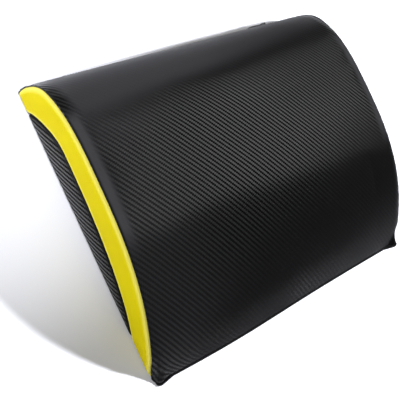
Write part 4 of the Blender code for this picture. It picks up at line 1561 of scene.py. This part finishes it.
class ABMAT_OT_zip_tapes(Piece, bpy.types.Operator):
    """Add the zip's woven tapes and the topstitching that holds them"""

    bl_idname = "abmat.zip_tapes"
    bl_label = "Zip tapes"

    def execute(self, context):
        for side, word in ROWS:
            ups = side * np.linspace(TAPE_GAP, TAPE_GAP + TAPE_WIDTH, 2 * CROSS_STEPS + 1)
            xs = np.linspace(-TAPE_HALF_LENGTH, TAPE_HALF_LENGTH, 2 * PROFILE_STEPS + 1)[:, None]
            ripple = np.cos(xs * 2 * np.pi / TAPE_RIPPLE_PITCH) * np.linspace(1, 0, len(ups))
            places = wall_places(xs, ups, TAPE_DEPTH + TAPE_RIPPLE * ripple)
            tape = grid_object("woven_tape_" + word, places, cloth_places(xs, ups), (0, 1, 0.3))
            thicken(tape, TAPE_THICK)
            surface(tape, "tape_weave")
            dress(tape, "mat", "zip_cloth", "zip_tape_" + word)
        edge = SLOT_EDGE + TOPSTITCH_FROM_EDGE
        end = SLOT_HALF_LENGTH + TOPSTITCH_FROM_EDGE
        corners = [(-end, -edge), (end, -edge), (end, edge), (-end, edge), (-end, -edge)]
        places = []
        for (x, up), (next_x, next_up) in zip(corners, corners[1:]):
            steps = max(4, round(math.hypot(next_x - x, next_up - up) / STITCH_PITCH))
            share = np.arange(steps) / steps
            places.append((x + (next_x - x) * share, up + (next_up - up) * share))
        points = wall_places(*np.concatenate(places, axis=1), -TOPSTITCH_THREAD * 0.15)
        points = np.vstack([points, points[:1]])
        stitched("zip_topstitching", points, "mat", thickness=TOPSTITCH_THREAD)
        return {"FINISHED"}


class ABMAT_OT_zip_coils(Piece, bpy.types.Operator):
    """Add the two nylon coils and the sewing that holds each to its tape"""

    bl_idname = "abmat.zip_coils"
    bl_label = "Zip coils"

    def execute(self, context):
        turns = int((2 * ZIP_HALF_LENGTH - COIL_WIRE) / COIL_PITCH)
        middle_out = -(ROW_DEPTH + ROW_THICK / 2)
        place = zip_matrix()
        for side, word in ROWS:
            start = -turns * COIL_PITCH / 2 + (0 if side > 0 else COIL_PITCH / 2)
            near = COIL_WIRE / 2 - COIL_OVERLAP
            far = ROW_REACH - COIL_WIRE / 2
            coil = grown(
                "zip_coil_" + word,
                [(0, 0, 0), (1, 0, 0)],
                "coil",
                turns=turns,
                start=start,
                near_edge=side * near,
                far_edge=side * far,
                middle_out=middle_out,
                nylon=material("coil_nylon"),
            )
            in_place(coil, place)
            dress(coil, "mat", "zip_nylon", "zip_row_" + word)
            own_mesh(coil)
            outside = middle_out + ROW_THICK / 2 + COIL_WIRE * 0.1
            line = [
                place @ Vector((x, outside, side * COIL_STITCH_UP))
                for x in np.linspace(-ZIP_HALF_LENGTH + COIL_PITCH, ZIP_HALF_LENGTH - COIL_PITCH, 9)
            ]
            stitched(
                "coil_stitching_" + word,
                line,
                "mat",
                pitch=COIL_STITCH_PITCH,
                length=COIL_STITCH_PITCH * 1.15,
                thickness=COIL_STITCH_THREAD,
            )
        return {"FINISHED"}


class ABMAT_OT_zip_stops(Piece, bpy.types.Operator):
    """Add the metal stops at the zip's ends"""

    bl_idname = "abmat.zip_stops"
    bl_label = "Zip stops"

    def execute(self, context):
        for word in ("upper", "lower", "end"):
            stop = refined_copy("metal_stop_" + word, "zip_stop_" + word, STOP_ROUND, "dark_metal", 3)
            dress(stop, "mat", "zip_metal", "zip_stop_" + word)
        return {"FINISHED"}


class ABMAT_OT_zip_slider(Piece, bpy.types.Operator):
    """Add the slider's two shaped plates, its flanges, wedge and arched bridge"""

    bl_idname = "abmat.zip_slider"
    bl_label = "Zip slider"

    def execute(self, context):
        outline = plate_outline(SLIDER_TALL, SLIDER_WAIST, SLIDER_HALF)
        top = slab("slider_body", outline, PLATE_OUT, PLATE_OUT + PLATE_THICK)
        round_edges(top, PLATE_ROUND, 3)
        under = slab("slider_under", outline, LOWER_PLATE_OUT - LOWER_PLATE_THICK, LOWER_PLATE_OUT)
        round_edges(under, LOWER_PLATE_ROUND, 2)
        parts = [under]
        bite = PLATE_THICK / 4
        reach = SLIDER_HALF * 0.62
        for side in (1, -1):
            edges = (side * (SLIDER_TALL - FLANGE_INSET), side * (SLIDER_TALL - FLANGE_THICK))
            skirt = rounded_rectangle((-reach, min(edges)), (reach, max(edges)), FLANGE_ROUND, 2)
            parts.append(slab("slider_flange", skirt, FLANGE_FOOT, PLATE_OUT + bite))
        point, shoulder, end = (SLIDER_HALF - back for back in (WEDGE_POINT, WEDGE_SHOULDER, WEDGE_END))
        half = WEDGE_THICK / 2
        arrow = [(point, 0), (shoulder, -half), (end, -half), (end, half), (shoulder, half)]
        parts.append(slab("slider_wedge", arrow, LOWER_PLATE_OUT - bite, PLATE_OUT + bite))
        parts.append(self.bridge(PLATE_OUT + PLATE_THICK - bite))
        unite(top, parts)
        in_place(top, slider_matrix())
        surface(top, "dark_metal")
        dress(top, "slider", "zip_metal", "zip_slider")
        return {"FINISHED"}

    def bridge(self, foot):
        """A strip bent up, over the pull's pin and down again."""
        top = PIN_OUT + PULL_THICK / 2 + BRIDGE_PLAY + BRIDGE_THICK
        arches = []
        for half, high in ((BRIDGE_HALF, top), (BRIDGE_HALF - BRIDGE_THICK, top - BRIDGE_THICK)):
            bends = ((half, foot), (half, high), (half * 0.9, high), (half * 0.45, high))
            rising = cubic(*bends, BRIDGE_STEPS)
            arches.append(np.vstack([rising, rising[::-1] * (-1, 1)]))
        outline = np.vstack([arches[0], arches[1][::-1]])
        strip = slab("slider_bridge", outline, -BRIDGE_WIDTH / 2, BRIDGE_WIDTH / 2)
        strip.data.transform(Matrix(((1, 0, 0, 0), (0, 0, 1, 0), (0, 1, 0, 0), (0, 0, 0, 1))))
        reshape(strip.data, face_out)
        round_edges(strip, BRIDGE_ROUND, 2)
        return strip


class ABMAT_OT_zip_pull(Piece, bpy.types.Operator):
    """Add the pull tab with its two arms, pin and gripping ridges"""

    bl_idname = "abmat.zip_pull"
    bl_label = "Zip pull"

    def execute(self, context):
        tip = PULL_TIP_WIDTH / 2
        waist = PULL_ARM_OUT * 0.86
        shoulder = (-PULL_EYE, PULL_ARM_OUT)
        neck = (-PULL_EYE * 2.3, waist + PULL_NECK_FLARE)
        grip = (tip - PULL_LENGTH, tip)
        arm = cubic(shoulder, (-PULL_EYE * 1.5, waist), (-PULL_EYE * 1.7, waist), neck, PULL_STEPS)
        flare = cubic(neck, (-PULL_LENGTH * 0.72, tip), (-PULL_LENGTH * 0.78, tip), grip, PULL_STEPS)
        turns = np.linspace(math.pi / 2, math.pi, CORNER_STEPS + 1)[1:]
        end = [(grip[0] + tip * math.cos(turn), tip * math.sin(turn)) for turn in turns]
        right = np.vstack([[(0, PULL_ARM_IN), (0, PULL_ARM_OUT)], arm, flare[1:], end])
        corner = PULL_EYE_CORNER
        eye = np.array([(-PULL_EYE, PULL_ARM_IN - corner), (-PULL_EYE + corner, PULL_ARM_IN)])
        outline = np.vstack([right, right[-2::-1] * (1, -1), eye[::-1] * (1, -1), eye])
        tab = slab("pull_tab", outline, -PULL_THICK / 2, PULL_THICK / 2)
        round_edges(tab, PULL_ROUND, 3)
        pin_end = PULL_ARM_OUT - PIN_INSET
        parts = [tube("pull_pin", [(0, 0, -pin_end), (0, 0, pin_end)], PIN / 2)]
        reach = tip * 0.72
        for number in range(GRIP_RIDGES):
            x = -PULL_LENGTH * 0.62 - number * 2 * GRIP_RIDGE
            for side in (1, -1):
                y = side * (PULL_THICK / 2 - GRIP_RIDGE / 2 + GRIP_RISE)
                ridge = tube("pull_ridge", [(x, y, -reach), (x, y, reach)], GRIP_RIDGE / 2, 2)
                parts.append(ridge)
        unite(tab, parts)
        in_place(tab, slider_matrix() @ Matrix.Translation((0, PIN_OUT, 0)))
        surface(tab, "dark_metal")
        dress(tab, "pull", "zip_metal", "zip_pull")
        return {"FINISHED"}


class ABMAT_OT_stage(Piece, bpy.types.Operator):
    """Add the floor, the world, the lamps and the camera"""

    bl_idname = "abmat.stage"
    bl_label = "Floor, light and camera"

    def execute(self, context):
        floor = add_floor()
        add_world()
        add_lamps(floor)
        add_camera()
        context.scene.view_settings.view_transform = "Standard"
        return {"FINISHED"}


# Floor, world, camera and lamps

FLOOR_HALF = 4.0
HORIZON_BAND = (0.08, 0.22)
CAMERA_PLACE = Vector((-0.5089, -0.0558, 0.6386))
CAMERA_TURN = (math.radians(19.853), math.radians(-30.589), math.radians(-29.687))
CAMERA_LENS = 67.9
MAT_LAMPS = {
    "key": {"place": (1.083, 0.10, 1.249), "size": (0.7, 0.7), "power": 9.0, "glossy": False},
    "left": {"place": (-0.837, 0.419, 0.386), "size": (0.8, 0.6), "power": 6.9},
    "ceiling_box": {
        "place": (1.404, 0.574, 1.30), "turn": math.radians(-14), "size": (1.6, 2.1), "power": 15.0
    },
}
FLOOR_LAMPS = {
    "floor_lamp": {"place": (2.468, -0.615, 1.62), "size": (0.2, 0.2), "power": 290.0},
    "back_left_spot": {
        "place": (-0.35, 0.22, 0.90), "aim": (-0.25, 0.16, 0), "cone": math.radians(33), "power": 42.0
    },
}


def ray_seen(tree):
    """1 for camera rays and what glass passes on, and 1 for glossy rays."""
    rays = put(tree, "ShaderNodeLightPath").outputs
    seen = calc(tree, "MAXIMUM", rays["Is Camera Ray"], rays["Is Transmission Ray"])
    return seen, rays["Is Glossy Ray"]


def add_floor():
    """A wide pale floor, which shows white and keeps the mat's shadow."""
    bm = bmesh.new()
    bmesh.ops.create_grid(bm, x_segments=1, y_segments=1, size=FLOOR_HALF)
    floor = new_mesh("floor", bm)
    made = bpy.data.materials.new("pale_floor")
    made.use_nodes = True
    tree = made.node_tree
    tree.nodes.clear()
    matte = out(tree, "ShaderNodeBsdfDiffuse", (solid(settings().floor),))
    glow = times(tree, calc(tree, "MAXIMUM", *ray_seen(tree)), settings().floor_glow)
    lit = out(tree, "ShaderNodeEmission", {"Strength": glow})
    put(tree, "ShaderNodeOutputMaterial", (out(tree, "ShaderNodeAddShader", (matte, lit)),))
    floor.data.materials.append(made)
    return floor


def add_world():
    """Soft light all round, with a white background that gloss shows too near the horizon."""
    world = bpy.data.worlds.new("studio")
    world.use_nodes = True
    tree = world.node_tree
    tree.nodes.clear()
    seen, glossy = ray_seen(tree)
    direction = put(tree, "ShaderNodeTexCoord").outputs["Generated"]
    height = put(tree, "ShaderNodeSeparateXYZ", (direction,)).outputs[2]
    light = settings().world_light
    level = spread(tree, height, 0.0, 1.0, light, light * settings().ceiling)
    low = spread(tree, height, *HORIZON_BAND, 1.0, 0.0)
    glow = calc(tree, "MAXIMUM", calc(tree, "MAXIMUM", seen, times(tree, glossy, low)), level)
    sky = out(tree, "ShaderNodeBackground", {"Color": (1, 1, 1, 1), "Strength": glow})
    put(tree, "ShaderNodeOutputWorld", (sky,))
    bpy.context.scene.world = world


def add_lamp(name, lamp):
    """A lamp aimed at the mat's middle, or where it says, or a level panel turned about the upright."""
    data = bpy.data.lights.new(name, "SPOT" if "cone" in lamp else "AREA")
    data.energy = lamp["power"]
    if "cone" in lamp:
        data.spot_size = lamp["cone"]
        data.spot_blend = 1.0
    else:
        data.shape = "RECTANGLE"
        data.size, data.size_y = lamp["size"]
    thing = new_object(name, data)
    thing.visible_glossy = lamp.get("glossy", True)
    thing.location = lamp["place"]
    if "turn" in lamp:
        thing.rotation_euler = (0, 0, lamp["turn"])
    else:
        towards = thing.location - Vector(lamp.get("aim", (0, 0, HEIGHT / 2)))
        thing.rotation_euler = towards.to_track_quat("Z", "Y").to_euler()
    return thing


def add_lamps(floor):
    """Soft lamps for the mat alone, and others for the floor alone, one of which casts the shadow."""
    kept_off = bpy.data.collections.new("not_lit_by_mat_lamps")
    kept_off.objects.link(floor)
    kept_off.collection_objects[0].light_linking.link_state = "EXCLUDE"
    lit = bpy.data.collections.new("lit_by_floor_lamps")
    lit.objects.link(floor)
    for lamps, receivers in ((MAT_LAMPS, kept_off), (FLOOR_LAMPS, lit)):
        for name, lamp in lamps.items():
            add_lamp(name, lamp).light_linking.receiver_collection = receivers


def add_camera():
    data = bpy.data.cameras.new("camera")
    data.sensor_width = 36
    data.lens = CAMERA_LENS
    data.clip_start = 0.01
    camera = new_object("camera", data)
    camera.location = CAMERA_PLACE
    camera.rotation_euler = CAMERA_TURN
    bpy.context.scene.camera = camera


# Settings, panel and registration


class AbMatSettings(bpy.types.PropertyGroup):
    """Sizes, colours and light levels that a user would change"""

    black_vinyl: bpy.props.FloatVectorProperty(
        name="Black vinyl", description="Base colour of the twill cover",
        default=(0.003, 0.003, 0.003), **COLOUR
    )
    # Colour of the raised bands: partly the twill's pattern, partly painted sheen
    vinyl_ribs_and_sheen: bpy.props.FloatVectorProperty(
        name="Vinyl ribs", description="Colour of the twill's raised bands",
        default=(0.018, 0.019, 0.019), **COLOUR
    )
    # Dark tone of the flat cover, which also paints shade at the front foot and beside seams
    flat_vinyl: bpy.props.FloatVectorProperty(
        name="Flat vinyl", description="Colour of the twill cover where it is pulled flat",
        default=(0.0065, 0.0065, 0.0069), **COLOUR
    )
    # Lighter colour painted as sheen over the shoulder, at the left and beside the seams
    stretched_vinyl: bpy.props.FloatVectorProperty(
        name="Stretched vinyl", description="Colour of the twill cover where it is stretched",
        default=(0.072, 0.072, 0.079), **COLOUR
    )
    yellow_vinyl: bpy.props.FloatVectorProperty(
        name="Yellow vinyl", description="Base colour of the side bands",
        default=(0.715, 0.605, 0.004), **COLOUR
    )
    base_cloth: bpy.props.FloatVectorProperty(
        name="Base cloth", description="Colour of the underside cloth",
        default=(0.004, 0.004, 0.0043), **COLOUR
    )
    thread: bpy.props.FloatVectorProperty(
        name="Thread", description="Colour of thread and tapes", default=(0.010, 0.010, 0.0105), **COLOUR
    )
    zip_metal: bpy.props.FloatVectorProperty(
        name="Zip metal", description="Colour of slider, pull and stops",
        default=(0.10, 0.10, 0.106), **COLOUR
    )
    rib_relief: bpy.props.FloatProperty(
        name="Rib relief", description="Height of the twill's ribs",
        default=0.00022, min=0, max=0.001, **LENGTH
    )
    foam_pressure: bpy.props.FloatProperty(
        name="Foam pressure", description="How hard the foam presses the cover out",
        default=2.0, min=0, max=20
    )
    foam_swell: bpy.props.FloatProperty(
        name="Foam swell", description="How far the cover may move out",
        default=0.0012, min=0, max=0.01, **LENGTH
    )
    floor: bpy.props.FloatVectorProperty(
        name="Floor", description="Colour of the floor", default=(0.585, 0.595, 0.66), **COLOUR
    )
    floor_glow: bpy.props.FloatProperty(
        name="Floor glow", description="White added to the floor as the camera sees it",
        default=0.27, min=0, max=1
    )
    world_light: bpy.props.FloatProperty(
        name="World light", description="Level of the light all round", default=0.15, min=0, max=2
    )
    ceiling: bpy.props.FloatProperty(
        name="Ceiling", description="Brightness overhead, as a share of the horizon's",
        default=1.0, min=0, max=1
    )


OPERATORS = (
    ABMAT_OT_foam,
    ABMAT_OT_top_cover,
    ABMAT_OT_side_bands,
    ABMAT_OT_base_cover,
    ABMAT_OT_seams,
    ABMAT_OT_zip_tapes,
    ABMAT_OT_zip_coils,
    ABMAT_OT_zip_stops,
    ABMAT_OT_zip_slider,
    ABMAT_OT_zip_pull,
    ABMAT_OT_stage,
)


class ABMAT_PT_panel(bpy.types.Panel):
    """Lists the mat's settings and pieces"""

    bl_label = "Ab Mat"
    bl_space_type = "VIEW_3D"
    bl_region_type = "UI"
    bl_category = "Ab Mat"

    def draw(self, context):
        column = self.layout.column()
        for name in AbMatSettings.__annotations__:
            column.prop(context.scene.ab_mat, name)
        column.separator()
        for operator in OPERATORS:
            column.operator(operator.bl_idname)


CLASSES = (AbMatSettings, *OPERATORS, ABMAT_PT_panel)


def register():
    for item in CLASSES:
        bpy.utils.register_class(item)
    bpy.types.Scene.ab_mat = bpy.props.PointerProperty(type=AbMatSettings)


def unregister():
    del bpy.types.Scene.ab_mat
    for item in reversed(CLASSES):
        bpy.utils.unregister_class(item)


def main():
    register()
    for operator in OPERATORS:
        area, name = operator.bl_idname.split(".")
        getattr(getattr(bpy.ops, area), name)()
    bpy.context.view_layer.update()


if __name__ == "__main__":
    main()
